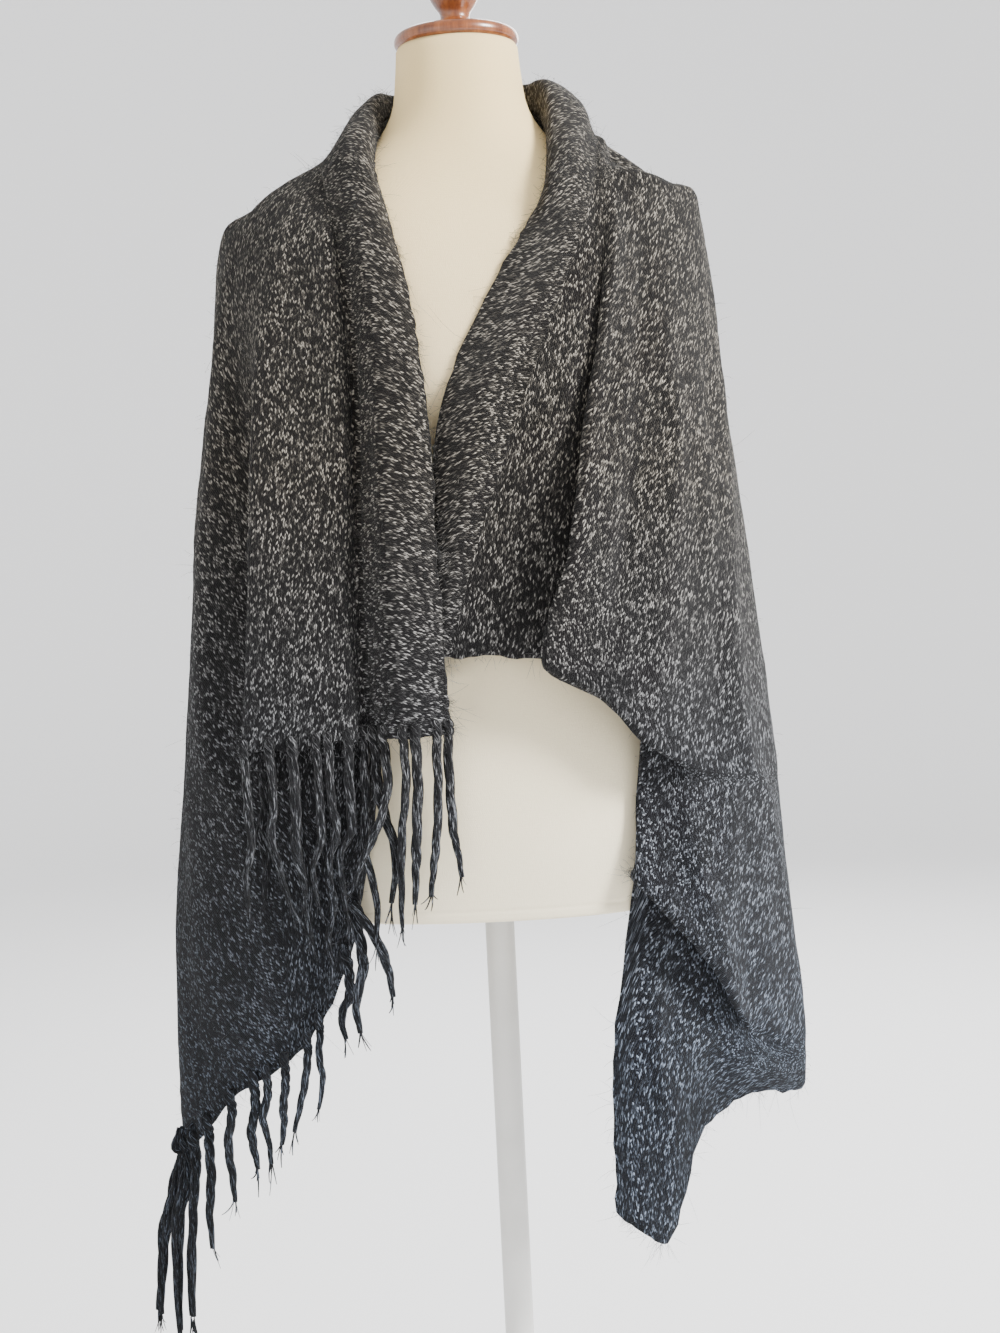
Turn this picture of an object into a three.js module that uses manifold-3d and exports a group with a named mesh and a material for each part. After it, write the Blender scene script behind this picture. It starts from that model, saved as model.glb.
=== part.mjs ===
// Fringed knitted wrap, worn open like a cardigan over a limbless dress form on a round stand.
// Millimetres, +Z up, the form faces -Y. The origin is on the floor, under the middle of the form.

import * as THREE from "three";
import { mergeVertices } from "three/addons/utils/BufferGeometryUtils.js";
import Module from "manifold-3d";

const wasm = await Module();
wasm.setup();

// Driving dimensions
const CLOTH = 3; // the knit's thickness
const SEAM = 0.3; // gap between neighbouring pieces
const REST = 1.5; // air between the form and the cloth's inner face at a corner of its grid
const STRIP_GAP = 0.9; // gap between the hem and a strip, which closes to less at the hem's corners
const STRIP = 5.5; // height of the strip that the fringe's strands are knotted into
const STRIP_INSET = 7; // how far a strip stops short of the fold at its end
const STRAND = { half: 3.4, thick: 2.2, steps: 5 }; // half a strand's width and thickness, and its cells
const KNOT_LIFT = 1.2; // how far above its strip's lower edge a strand starts

const STAND = {
  baseRadius: 155, baseHeight: 16, baseEdge: 5, poleRadius: 12.5, socketRadius: 24, socketHeight: 34,
  flangeRadius: 45, flangeHeight: 5,
};
const FORM_BOTTOM = 757; // height of the torso's flat underside above the floor
const NECK_HEIGHT = 714; // from that underside to the top of the neck

// Sections of the dress form: height above its underside, half width, depth to the front and to the
// back, and how square the section is, where 2 is an ellipse
const SECTIONS = [
  { high: 0, half: 165, front: 111, back: 112, square: 2.4 },
  { high: 60, half: 171, front: 115, back: 120, square: 2.4 },
  { high: 130, half: 165, front: 112, back: 115, square: 2.4 },
  { high: 220, half: 136, front: 98, back: 93, square: 2.3 },
  { high: 285, half: 122, front: 92, back: 84, square: 2.3 },
  { high: 350, half: 132, front: 100, back: 91, square: 2.3 },
  { high: 430, half: 150, front: 118, back: 102, square: 2.4 },
  { high: 500, half: 160, front: 108, back: 107, square: 2.5 },
  { high: 540, half: 172, front: 94, back: 102, square: 2.5 },
  { high: 570, half: 170, front: 80, back: 92, square: 2.4 },
  { high: 590, half: 146, front: 72, back: 84, square: 2.3 },
  { high: 606, half: 116, front: 67, back: 76, square: 2.2 },
  { high: 622, half: 90, front: 62, back: 68, square: 2.1 },
  { high: 640, half: 70, front: 57, back: 59, square: 2 },
  { high: 662, half: 57, front: 54, back: 53, square: 2 },
  { high: 690, half: 52.5, front: 52.5, back: 51, square: 2 },
  { high: 714, half: 50.5, front: 50.5, back: 50, square: 2 },
];

// The band that edges both fronts and rolls over as the collar. A row is one section across it, from
// the left hem up round the neck and down to the right end: its free edge, the inner and the outer
// side of its roll, and the crease where it meets the body of the wrap
const BAND = [
  { at: "left hem", edge: [-31, -127, 914], rise: [-48, -136, 913], top: [-71, -138, 912],
    crease: [-97, -118, 911] },
  { at: "left hip", edge: [-34, -128, 1026], rise: [-50, -138, 1027], top: [-71, -140, 1028],
    crease: [-98, -114, 1030] },
  { at: "left waist", edge: [-35, -130, 1143], rise: [-49, -140, 1143], top: [-70, -140, 1145],
    crease: [-94, -114, 1149] },
  { at: "left chest", edge: [-43, -120, 1236], rise: [-55, -130, 1237], top: [-73, -130, 1240],
    crease: [-95, -106, 1245] },
  { at: "left collarbone", edge: [-58, -90, 1311], rise: [-67, -102, 1315], top: [-83, -100, 1320],
    crease: [-105, -78, 1327] },
  { at: "left throat", edge: [-69, -68, 1351], rise: [-77, -77, 1364], top: [-91, -68, 1374],
    crease: [-112, -44, 1367] },
  { at: "left of neck", edge: [-64, 6, 1416], rise: [-68, 12, 1437], top: [-83, 4, 1426],
    crease: [-113, 5, 1385] },
  { at: "left nape", edge: [-48, 44, 1424], rise: [-52, 50, 1444], top: [-62, 62, 1440],
    crease: [-84, 84, 1398] },
  { at: "nape", edge: [0, 60, 1424], rise: [0, 66, 1447], top: [0, 79, 1445], crease: [0, 106, 1396] },
  { at: "right nape", edge: [50, 44, 1426], rise: [55, 50, 1448], top: [68, 62, 1444],
    crease: [86, 84, 1402] },
  { at: "right of neck", edge: [66, 6, 1414], rise: [72, 10, 1441], top: [99, 3, 1424],
    crease: [111, 2, 1394] },
  { at: "right throat", edge: [65, -77, 1338], rise: [71, -84, 1355], top: [89, -73, 1370],
    crease: [106, -47, 1363] },
  { at: "right collarbone", edge: [45, -97, 1302], rise: [61, -104, 1300], top: [79, -102, 1304],
    crease: [93, -89, 1307] },
  { at: "right chest", edge: [1, -118, 1234], rise: [16, -126, 1234], top: [40, -126, 1238],
    crease: [66, -111, 1240] },
  { at: "right waist", edge: [-30, -122, 1149], rise: [-18, -130, 1148], top: [5, -134, 1150],
    crease: [30, -114, 1150] },
  { at: "overlap", edge: [-40, -112, 1073], rise: [-29, -119, 1072], top: [-15, -122, 1072],
    crease: [1, -112, 1071] },
  { at: "right end", edge: [-52, -108, 980], rise: [-44, -112, 978], top: [-36, -114, 976],
    crease: [-28, -112, 973] },
];
const BAND_LINES = ["edge", "rise", "top", "crease"];
const THROAT = { left: 5, right: 11 }; // rows of BAND where the collar starts and ends
const BAND_CELLS = 2; // cells between two lines of the band

// Folds of the body of the wrap, each a line from the collar's crease down to the hem. ring is the
// row of BAND, with its fraction, where the fold starts. A point is [across, deep], at the height of
// its column, or [across, deep, high]. cells is how many cells lie between it and the next fold
const LEFT_HEIGHT = {
  roll: 1385, slope: 1350, tip: 1348, shoulder: 1313, chest: 1241, waist: 1148,
  hip: 1028, thigh: 866, calf: 732, hem: 800,
};
const LEFT_FOLDS = [
  { fold: "welt", cells: 2, ring: 5.2, tip: [-110, -58, 1347], shoulder: [-109, -86], chest: [-107, -110],
    waist: [-106, -124], hip: [-110, -124], hem: [-112, -128, 910] },
  { fold: "panel", cells: 2, ring: 5.42, tip: [-126, -50], shoulder: [-132, -76], chest: [-134, -102],
    waist: [-136, -120], hip: [-144, -125], hem: [-151, -129, 906] },
  { fold: "front fold", cells: 2, ring: 5.62, tip: [-143, -42], shoulder: [-158, -60], chest: [-165, -88],
    waist: [-171, -108], hip: [-183, -117], hem: [-195, -124, 903] },
  { fold: "return", cells: 2, ring: 5.74, tip: [-151, -34, 1350], shoulder: [-168, -49],
    chest: [-175, -73], waist: [-170, -88], hip: [-162, -103], hem: [-153, -116, 866] },
  { fold: "turn", cells: 2, ring: 5.85, tip: [-158, -26], shoulder: [-177, -40], chest: [-183, -60],
    waist: [-170, -66], hip: [-133, -88], thigh: [-94, -110, 884], hem: [-114, -108, 784] },
  { fold: "under", cells: 2, ring: 5.95, tip: [-165, -20], shoulder: [-183, -32], chest: [-191, -49],
    waist: [-184, -54], hip: [-160, -67], thigh: [-124, -92], hem: [-140, -90, 693] },
  { fold: "left drop", cells: 2, ring: 6.04, tip: [-173, -14, 1345], shoulder: [-190, -24],
    chest: [-199, -40], waist: [-202, -48], hip: [-191, -60], thigh: [-176, -76], calf: [-176, -84],
    hem: [-177, -82, 645] },
  { fold: "left outer", cells: 2, ring: 6.13, slope: [-150, -5, 1352], tip: [-183, -8, 1340],
    shoulder: [-199, -14], chest: [-211, -26], waist: [-220, -36], hip: [-229, -46], thigh: [-239, -55],
    calf: [-238, -64], hem: [-223, -70, 615] },
  { fold: "left side", cells: 2, ring: 6.25, roll: [-121, 17, 1376], slope: [-157, 6],
    tip: [-196, 2, 1336], shoulder: [-207, 5], chest: [-216, 3], waist: [-230, -2], hip: [-245, -9],
    thigh: [-262, -16], calf: [-275, -22], hem: [-274, -36, 563] },
  { fold: "left back edge", cells: 2, ring: 6.45, slope: [-150, 14], tip: [-187, 18, 1338],
    shoulder: [-206, 32], chest: [-216, 42], waist: [-229, 46], hip: [-241, 46], thigh: [-256, 43],
    calf: [-262, 36], hem: [-263, 28, 635] },
  { fold: "left back", cells: 4, ring: 6.8, tip: [-160, 46, 1345], shoulder: [-187, 76], chest: [-196, 92],
    waist: [-200, 98], hip: [-204, 101], thigh: [-209, 104], hem: [-210, 106, 714] },
  { fold: "left blade", cells: 4, ring: 7.4, tip: [-88, 90, 1366], shoulder: [-97, 101],
    chest: [-102, 113], waist: [-104, 116], hip: [-106, 116], thigh: [-108, 134], hem: [-109, 138, 775] },
  { fold: "centre back", cells: 4, ring: 8, tip: [0, 98, 1372], shoulder: [0, 102], chest: [0, 113],
    waist: [0, 108], hip: [2, 103], hem: [2, 124, 838] },
  { fold: "right blade", cells: 4, ring: 8.7, tip: [88, 90, 1368], shoulder: [96, 101], chest: [99, 113],
    waist: [100, 118], hip: [101, 119], thigh: [102, 135], hem: [103, 139, 764] },
  { fold: "right back", cells: 2, ring: 9.4, tip: [154, 46, 1350], shoulder: [176, 76], chest: [183, 92],
    waist: [187, 98], hip: [189, 101], thigh: [186, 104], hem: [180, 106, 695] },
  { fold: "right back edge", cells: 2, ring: 9.75, tip: [176, 18, 1344], shoulder: [194, 34],
    chest: [204, 42], waist: [213, 46], hip: [224, 46], thigh: [236, 43], hem: [243, 22, 639] },
];

// The right drop hangs with two sagging tucks, so all its folds have the same columns
const RIGHT_COLUMNS = [
  "ring", "roll", "dip", "slope", "tip", "shoulder", "chest", "waist", "lip", "tuck", "thigh", "fall",
  "under", "calf", "hem",
];
const ROWS = [1, 1, 1, 1, 2, 3, 4, 4, 2, 2, 2, 2, 2, 3]; // rows of cells between two of those columns
const RIGHT_HEIGHT = { shoulder: 1294, chest: 1175, waist: 1050 };
const RIGHT_FOLDS = [
  { fold: "right side", cells: 2, ring: 9.8, roll: [117, 10, 1386], dip: [125, 7, 1369],
    slope: [157, 4, 1350], tip: [190, 2, 1346], shoulder: [197, 4, 1312], chest: [210, 2], waist: [224, 0],
    lip: [242, -4, 859], tuck: [242, -4, 846], thigh: [246, -6, 772], fall: [255, -14, 640],
    under: [255, -15, 628], calf: [255, -17, 606], hem: [254, -20, 584] },
  { fold: "right outer", cells: 2, ring: 9.98, roll: [118, -6, 1388], dip: [124, -8, 1367],
    slope: [150, -12, 1350], tip: [174, -16, 1347], shoulder: [184, -40], chest: [189, -62],
    waist: [195, -74], lip: [204, -76, 865], tuck: [205, -75, 854], thigh: [206, -74, 774],
    fall: [205, -72, 655], under: [205, -68, 644], calf: [204, -66, 620], hem: [204, -62, 593] },
  { fold: "right drop", cells: 2, ring: 10.14, roll: [117, -14, 1383], dip: [123, -17, 1368],
    slope: [141, -24, 1353], tip: [157, -30, 1352], shoulder: [160, -58], chest: [155, -90],
    waist: [155, -104], lip: [164, -108, 877], tuck: [166, -99, 863], thigh: [169, -98, 787],
    fall: [172, -102, 714], under: [174, -84, 716], calf: [166, -78, 643], hem: [162, -74, 570] },
  { fold: "flap", cells: 2, ring: 10.32, roll: [116, -22, 1378], dip: [121, -25, 1364],
    slope: [131, -32, 1360], tip: [141, -40, 1355], shoulder: [141, -72], chest: [129, -106],
    waist: [120, -124], lip: [124, -130, 902], tuck: [140, -106, 897], thigh: [143, -102, 818],
    fall: [145, -110, 748], under: [148, -92, 752], calf: [134, -91, 631], hem: [126, -86, 477] },
  { fold: "tongue", cells: 1, ring: 10.5, roll: [115, -29, 1373], dip: [118, -33, 1364],
    slope: [122, -40, 1359], tip: [126, -48, 1352], shoulder: [127, -82], chest: [109, -112],
    waist: [95, -136], lip: [88, -141, 942], tuck: [129, -109, 915], thigh: [129, -103, 832],
    fall: [130, -113, 766], under: [133, -97, 772], calf: [113, -96, 638], hem: [105, -90, 488] },
  { fold: "lip", cells: 1, ring: 10.64, roll: [113, -34, 1370], dip: [115, -39, 1363],
    slope: [117, -46, 1356], tip: [118, -54, 1348], shoulder: [117, -92], chest: [93, -118],
    waist: [71, -141], lip: [47, -144, 963], tuck: [117, -112, 930], thigh: [115, -104, 841],
    fall: [114, -115, 782], under: [121, -100, 785], calf: [100, -98, 642], hem: [95, -91, 498] },
  { fold: "valley", cells: 2, ring: 10.76, roll: [111, -38, 1367], dip: [112, -43, 1361],
    slope: [113, -50, 1354], tip: [112, -58, 1345], shoulder: [110, -87], chest: [97, -101],
    waist: [82, -108], lip: [72, -112, 963], tuck: [125, -99, 922], thigh: [124, -94, 838],
    fall: [108, -112, 789], under: [111, -99, 791], calf: [90, -97, 646], hem: [85, -90, 507] },
];
const FRONT_COLUMNS = RIGHT_COLUMNS.slice(0, RIGHT_COLUMNS.indexOf("lip") + 1);
const FRONT_FOLDS = [
  { fold: "front panel", cells: 2, ring: 10.88, roll: [109, -43, 1362], dip: [109, -48, 1357],
    slope: [108, -54, 1351], tip: [107, -62, 1341], shoulder: [100, -89], chest: [70, -114],
    waist: [36, -113], lip: [18, -112, 970] },
];
// Rows of BAND that the right crease and band pass at the columns of the right front
const RIGHT_BAND_AT = {
  ring: 11, roll: 11.1, dip: 11.2, slope: 11.35, tip: 11.5, shoulder: 12.15, chest: 13.7, waist: 15.2,
  lip: 16,
};

// Where one piece of the wrap ends and the next begins, by fold
const PIECES = { band: "crease", front: "return", drop: "left side", back: "right side" };

// Strands of the fringe. along is where one is knotted in, as a part of its strip's length; the points
// are [across, high], in a plane at the depth deep
const FRINGES = [
  {
    name: "fringe_front", from: "edge", to: "front fold",
    strands: [
      { along: 0.02, deep: -128, low: [-33, 870], mid: [-32, 835], bend: [-29, 817], tip: [-27, 794] },
      { along: 0.09, deep: -133, low: [-42, 871], mid: [-46, 827], bend: [-49, 806], tip: [-53, 780] },
      { along: 0.18, deep: -137, low: [-58, 872], mid: [-61, 829], bend: [-63, 806], tip: [-65, 774] },
      { along: 0.25, deep: -138, low: [-67, 872], mid: [-72, 838], bend: [-75, 790], tip: [-76, 756] },
      { along: 0.33, deep: -136, low: [-82, 872], mid: [-93, 838], bend: [-105, 816], tip: [-114, 792] },
      { along: 0.4, deep: -126, low: [-90, 878], mid: [-86, 852], bend: [-79, 819], tip: [-85, 771] },
      { along: 0.49, deep: -124, low: [-100, 863], mid: [-103, 823], bend: [-96, 784], tip: [-98, 740] },
      { along: 0.56, deep: -127, low: [-112, 868], mid: [-113, 838], bend: [-122, 822], tip: [-119, 764] },
      { along: 0.64, deep: -129, low: [-127, 865], mid: [-124, 840], bend: [-131, 817], tip: [-129, 786] },
      { along: 0.71, deep: -129, low: [-136, 865], mid: [-137, 832], bend: [-144, 813], tip: [-141, 774] },
      { along: 0.79, deep: -128, low: [-155, 862], mid: [-157, 826], bend: [-153, 806], tip: [-152, 786] },
      { along: 0.89, deep: -126, low: [-173, 863], mid: [-176, 836], bend: [-170, 806], tip: [-163, 775] },
      { along: 0.93, deep: -129, low: [-193, 868], mid: [-192, 828], bend: [-198, 807], tip: [-196, 776] },
    ],
  },
  {
    name: "fringe_middle", from: "front fold", to: "turn",
    strands: [
      { along: 0.2, deep: -117, low: [-180, 858], mid: [-185, 841], bend: [-182, 817], tip: [-186, 780] },
      { along: 0.45, deep: -114, low: [-155, 834], mid: [-151, 800], bend: [-152, 770], tip: [-150, 742] },
      { along: 0.72, deep: -113, low: [-135, 806], mid: [-131, 780], bend: [-137, 752], tip: [-134, 724] },
      { along: 0.93, deep: -116, low: [-112, 773], mid: [-98, 748], bend: [-90, 724], tip: [-87, 697] },
    ],
  },
  {
    name: "fringe_inner", from: "turn", to: "under",
    strands: [
      { along: 0.12, deep: -109, low: [-112, 748], mid: [-111, 724], bend: [-118, 692], tip: [-115, 667] },
      { along: 0.6, deep: -98, low: [-123, 712], mid: [-124, 700], bend: [-131, 684], tip: [-128, 660] },
    ],
  },
  {
    name: "fringe_lower", from: "under", to: "left side",
    strands: [
      { along: 0.03, deep: -92, low: [-150, 668], mid: [-152, 650], bend: [-150, 630], tip: [-156, 600] },
      { along: 0.13, deep: -91, low: [-161, 652], mid: [-164, 632], bend: [-170, 608], tip: [-177, 583] },
      { along: 0.24, deep: -88, low: [-181, 626], mid: [-184, 610], bend: [-184, 594], tip: [-188, 572] },
      { along: 0.36, deep: -84, low: [-197, 615], mid: [-202, 598], bend: [-198, 578], tip: [-197, 555] },
      { along: 0.43, deep: -81, low: [-208, 606], mid: [-212, 588], bend: [-211, 570], tip: [-208, 551] },
      { along: 0.55, deep: -75, low: [-229, 596], mid: [-233, 574], bend: [-231, 546], tip: [-230, 521] },
      { along: 0.72, deep: -62, low: [-251, 568], mid: [-251, 542], bend: [-254, 512], tip: [-253, 475] },
      { along: 0.84, deep: -53, low: [-265, 545], mid: [-269, 516], bend: [-272, 474], tip: [-275, 408] },
      { along: 0.91, deep: -45, low: [-273, 538], mid: [-281, 506], bend: [-285, 460], tip: [-288, 393] },
      { along: 0.98, deep: -37, low: [-284, 532], mid: [-294, 500], bend: [-300, 456], tip: [-310, 411] },
    ],
  },
];

const COLOURS = {
  knit: new THREE.MeshStandardMaterial({ color: 0x3b3b40, roughness: 0.95, metalness: 0 }),
  fringe: new THREE.MeshStandardMaterial({ color: 0x31333b, roughness: 0.95, metalness: 0 }),
  linen: new THREE.MeshStandardMaterial({ color: 0xe9dfc4, roughness: 0.9, metalness: 0 }),
  wood: new THREE.MeshStandardMaterial({ color: 0x9a4a1c, roughness: 0.35, metalness: 0 }),
  paint: new THREE.MeshStandardMaterial({ color: 0xdedbd3, roughness: 0.5, metalness: 0 }),
};

// The dress form's section at a height above its underside, by cubic easing between its rows
function formSection(high) {
  const last = SECTIONS.length - 1;
  const z = Math.min(Math.max(high, 0), NECK_HEIGHT);
  const i = Math.min(SECTIONS.findLastIndex((row) => row.high <= z), last - 1);
  const rows = [Math.max(i - 1, 0), i, i + 1, Math.min(i + 2, last)].map((k) => SECTIONS[k]);
  const span = rows[2].high - rows[1].high;
  const t = (z - rows[1].high) / span;
  const blend = (key) => {
    const slope = (a, b) => ((b[key] - a[key]) / Math.max(b.high - a.high, 1)) * span;
    const start = slope(rows[0], rows[2]);
    const end = slope(rows[1], rows[3]);
    const rise = rows[2][key] - rows[1][key];
    const bend = (3 * rise - 2 * start - end) * t * t + (start + end - 2 * rise) * t ** 3;
    return rows[1][key] + start * t + bend;
  };
  return { half: blend("half"), front: blend("front"), back: blend("back"), square: blend("square") };
}

// How far outside the form's section a point is, as a part of the section's size
function formExcess(point) {
  const section = formSection(point.z - FORM_BOTTOM);
  const depth = point.y < 0 ? section.front : section.back;
  const across = Math.abs(point.x / section.half) ** section.square;
  const deep = Math.abs(point.y / depth) ** section.square;
  return (across + deep) ** (1 / section.square) - 1;
}

// Moves a point out along the form's slope until it is the given distance from the form
function clearOfForm(point, distance) {
  if (point.z < FORM_BOTTOM - distance) return point;
  const step = 0.5;
  for (let turn = 0; turn < 12; turn += 1) {
    const here = formExcess(point);
    const slope = new THREE.Vector3(
      formExcess(point.clone().setX(point.x + step)) - here,
      formExcess(point.clone().setY(point.y + step)) - here,
      formExcess(point.clone().setZ(point.z + step)) - here,
    ).divideScalar(step);
    const missing = distance - here / slope.length();
    if (missing < 0.02) break;
    point.addScaledVector(slope.normalize(), Math.min(missing, 4));
  }
  return point;
}

const toVector = ([x, y, z]) => new THREE.Vector3(x, y, z);
const smoothCurve = (points) => new THREE.CatmullRomCurve3(points, false, "centripetal");

// One line of the band round its whole length, and its point at a row of BAND
const bandCurves = Object.fromEntries(
  BAND_LINES.map((line) => [line, smoothCurve(BAND.map((section) => toVector(section[line])))]),
);
const bandPoint = (line, row) => bandCurves[line].getPoint(row / (BAND.length - 1));

// The points of a fold, from the collar's crease down through the columns that it names
function foldPoints(fold, columns, heights) {
  const named = columns.filter((column) => fold[column]);
  const below = named.map((column) => {
    const [across, deep, high = heights[column]] = fold[column];
    return new THREE.Vector3(across, deep, high);
  });
  return [bandPoint("crease", fold.ring), ...below];
}

// Right folds: a row of the grid lies at the same column on each of them
const rowStops = ROWS.flatMap((count, column) => Array.from({ length: count }, (_, k) => column + k / count));
rowStops.push(ROWS.length);
const frontRows = ROWS.slice(0, FRONT_COLUMNS.length - 1).reduce((sum, count) => sum + count, 0);

function lineByColumns(points, stops) {
  const curve = smoothCurve(points);
  return stops.map((stop) => curve.getPoint(stop / (points.length - 1)));
}

const rightLines = RIGHT_FOLDS.map((fold) => {
  const points = foldPoints(fold, RIGHT_COLUMNS.slice(1), RIGHT_HEIGHT);
  return { name: fold.fold, cells: fold.cells, points: lineByColumns(points, rowStops) };
});

// Left and back folds: a row lies at the same part of each one's length as on the right side
const sideCurve = smoothCurve(rightLines[0].points);
const sideLengths = sideCurve.getLengths(rowStops.length - 1);
const rowParts = sideLengths.map((length) => length / sideLengths.at(-1));

function lineByLength(points) {
  const curve = smoothCurve(points);
  curve.arcLengthDivisions = 400;
  return rowParts.map((part) => curve.getPointAt(part));
}

const throatRows = Array.from({ length: THROAT.left + 1 }, (_, k) => THROAT.left - k);
const leftBandLines = BAND_LINES.map((line) => ({
  name: line, cells: BAND_CELLS, points: lineByLength(throatRows.map((row) => bandPoint(line, row))),
}));
const leftColumns = Object.keys(LEFT_HEIGHT);
const leftLines = LEFT_FOLDS.map((fold) => ({
  name: fold.fold, cells: fold.cells, points: lineByLength(foldPoints(fold, leftColumns, LEFT_HEIGHT)),
}));

const frontStops = rowStops.slice(0, frontRows + 1);
const frontLines = FRONT_FOLDS.map((fold) => {
  const points = foldPoints(fold, FRONT_COLUMNS.slice(1), RIGHT_HEIGHT);
  return { name: fold.fold, cells: fold.cells, points: lineByColumns(points, frontStops) };
});
const rightBandLines = [...BAND_LINES].reverse().map((line) => {
  const points = FRONT_COLUMNS.map((column) => bandPoint(line, RIGHT_BAND_AT[column]));
  return { name: line, cells: BAND_CELLS, points: lineByColumns(points, frontStops) };
});

// A grid of points with its rows down the folds and a curve across them in every row
function gridAcross(lines, rows) {
  const stops = lines.slice(0, -1).flatMap((line, i) => (
    Array.from({ length: line.cells }, (_, k) => i + k / line.cells)
  ));
  stops.push(lines.length - 1);
  return Array.from({ length: rows + 1 }, (_, row) => {
    const curve = smoothCurve(lines.map((line) => line.points[row]));
    return stops.map((stop) => clearOfForm(curve.getPoint(stop / (lines.length - 1)), CLOTH / 2 + REST));
  });
}

// The column of a grid where a fold lies
function columnOf(lines, name) {
  const index = lines.findIndex((line) => line.name === name);
  return lines.slice(0, index).reduce((sum, line) => sum + line.cells, 0);
}

const mainLines = [...leftBandLines, ...leftLines, ...rightLines];
const mainGrid = gridAcross(mainLines, rowStops.length - 1);
const valleyColumn = columnOf(mainLines, "valley");

// The right front starts at the valley, so it takes that column's points from the main grid
const frontLinesAll = [rightLines.at(-1), ...frontLines, ...rightBandLines];
const frontGrid = gridAcross(frontLinesAll, frontRows);
frontGrid.forEach((row, index) => {
  row[0] = mainGrid[index][valleyColumn];
});

// The collar runs from the left throat's section round the neck to the right throat's
const bandCells = BAND_CELLS * (BAND_LINES.length - 1);
const rightCrease = columnOf(frontLinesAll, "crease");
const ringPoints = [...mainGrid[0].slice(bandCells), ...frontGrid[0].slice(1, rightCrease + 1)];

function ringRows() {
  const lines = [...mainLines.slice(BAND_LINES.length - 1), ...frontLines, { name: "end" }];
  const rings = [THROAT.left, ...LEFT_FOLDS, ...RIGHT_FOLDS, ...FRONT_FOLDS, THROAT.right];
  const rows = rings.map((entry) => entry.ring ?? entry);
  return lines.slice(0, -1).flatMap((line, i) => (
    Array.from({ length: line.cells }, (_, k) => rows[i] + ((rows[i + 1] - rows[i]) * k) / line.cells)
  )).concat(THROAT.right);
}

const collarGrid = ringRows().map((bandRow, index, all) => {
  if (index === 0) return mainGrid[0].slice(0, bandCells + 1).reverse();
  if (index === all.length - 1) return frontGrid[0].slice(rightCrease);
  const section = [...BAND_LINES].reverse().map((line) => bandPoint(line, bandRow));
  const outward = section[0].clone().setZ(0).normalize().multiplyScalar(30).add(section[0]);
  const curve = smoothCurve([outward.setZ(section[0].z - 16), ...section]);
  const points = Array.from({ length: bandCells + 1 }, (_, k) => {
    return clearOfForm(curve.getPoint((1 + k / BAND_CELLS) / BAND_LINES.length), CLOTH / 2 + REST);
  });
  points[0] = ringPoints[index];
  return points;
});

// Cells of the whole wrap, each with its piece and its corners in turn round its outer face
const cells = [];
function addCells(piece, grid, firstColumn, lastColumn) {
  for (let row = 0; row < grid.length - 1; row += 1) {
    for (let column = firstColumn; column < lastColumn; column += 1) {
      const [upper, lower] = [grid[row], grid[row + 1]];
      cells.push({ piece, corners: [upper[column + 1], lower[column + 1], lower[column], upper[column]] });
    }
  }
}

const bounds = [0, ...Object.values(PIECES).map((fold) => columnOf(mainLines, fold)), valleyColumn];
const mainPieces = ["band_left", "front_left", "drop_left", "back", "drop_right"];
mainPieces.forEach((piece, i) => addCells(piece, mainGrid, bounds[i], bounds[i + 1]));
addCells("drop_right", frontGrid, 0, 1);
addCells("front_right", frontGrid, 1, rightCrease);
addCells("band_right", frontGrid, rightCrease, frontGrid[0].length - 1);
addCells("collar", collarGrid, 0, bandCells);

// Outward direction of the cloth at each point, from the cells that meet there
const points = [...new Set(cells.flatMap((cell) => cell.corners))];
const order = new Map(points.map((point, index) => [point, index]));
const outwards = points.map(() => new THREE.Vector3());
for (const { corners } of cells) {
  const [a, b, c, d] = corners;
  const facing = c.clone().sub(a).cross(d.clone().sub(b)).normalize();
  corners.forEach((corner) => outwards[order.get(corner)].add(facing));
}
outwards.forEach((direction) => direction.normalize());

const edgeKey = (a, b) => [order.get(a), order.get(b)].sort((p, q) => p - q).join("-");
const edgeUse = new Map();
for (const { corners } of cells) {
  corners.forEach((corner, i) => {
    const key = edgeKey(corner, corners[(i + 1) % 4]);
    edgeUse.set(key, (edgeUse.get(key) ?? 0) + 1);
  });
}

// A closed solid from triangles of points
function solidGeometry(vertices, triangles) {
  const geometry = new THREE.BufferGeometry();
  const places = vertices.flatMap((vertex) => [vertex.x, vertex.y, vertex.z]);
  geometry.setAttribute("position", new THREE.Float32BufferAttribute(places, 3));
  geometry.setIndex(triangles.flat());
  return geometry;
}

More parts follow.
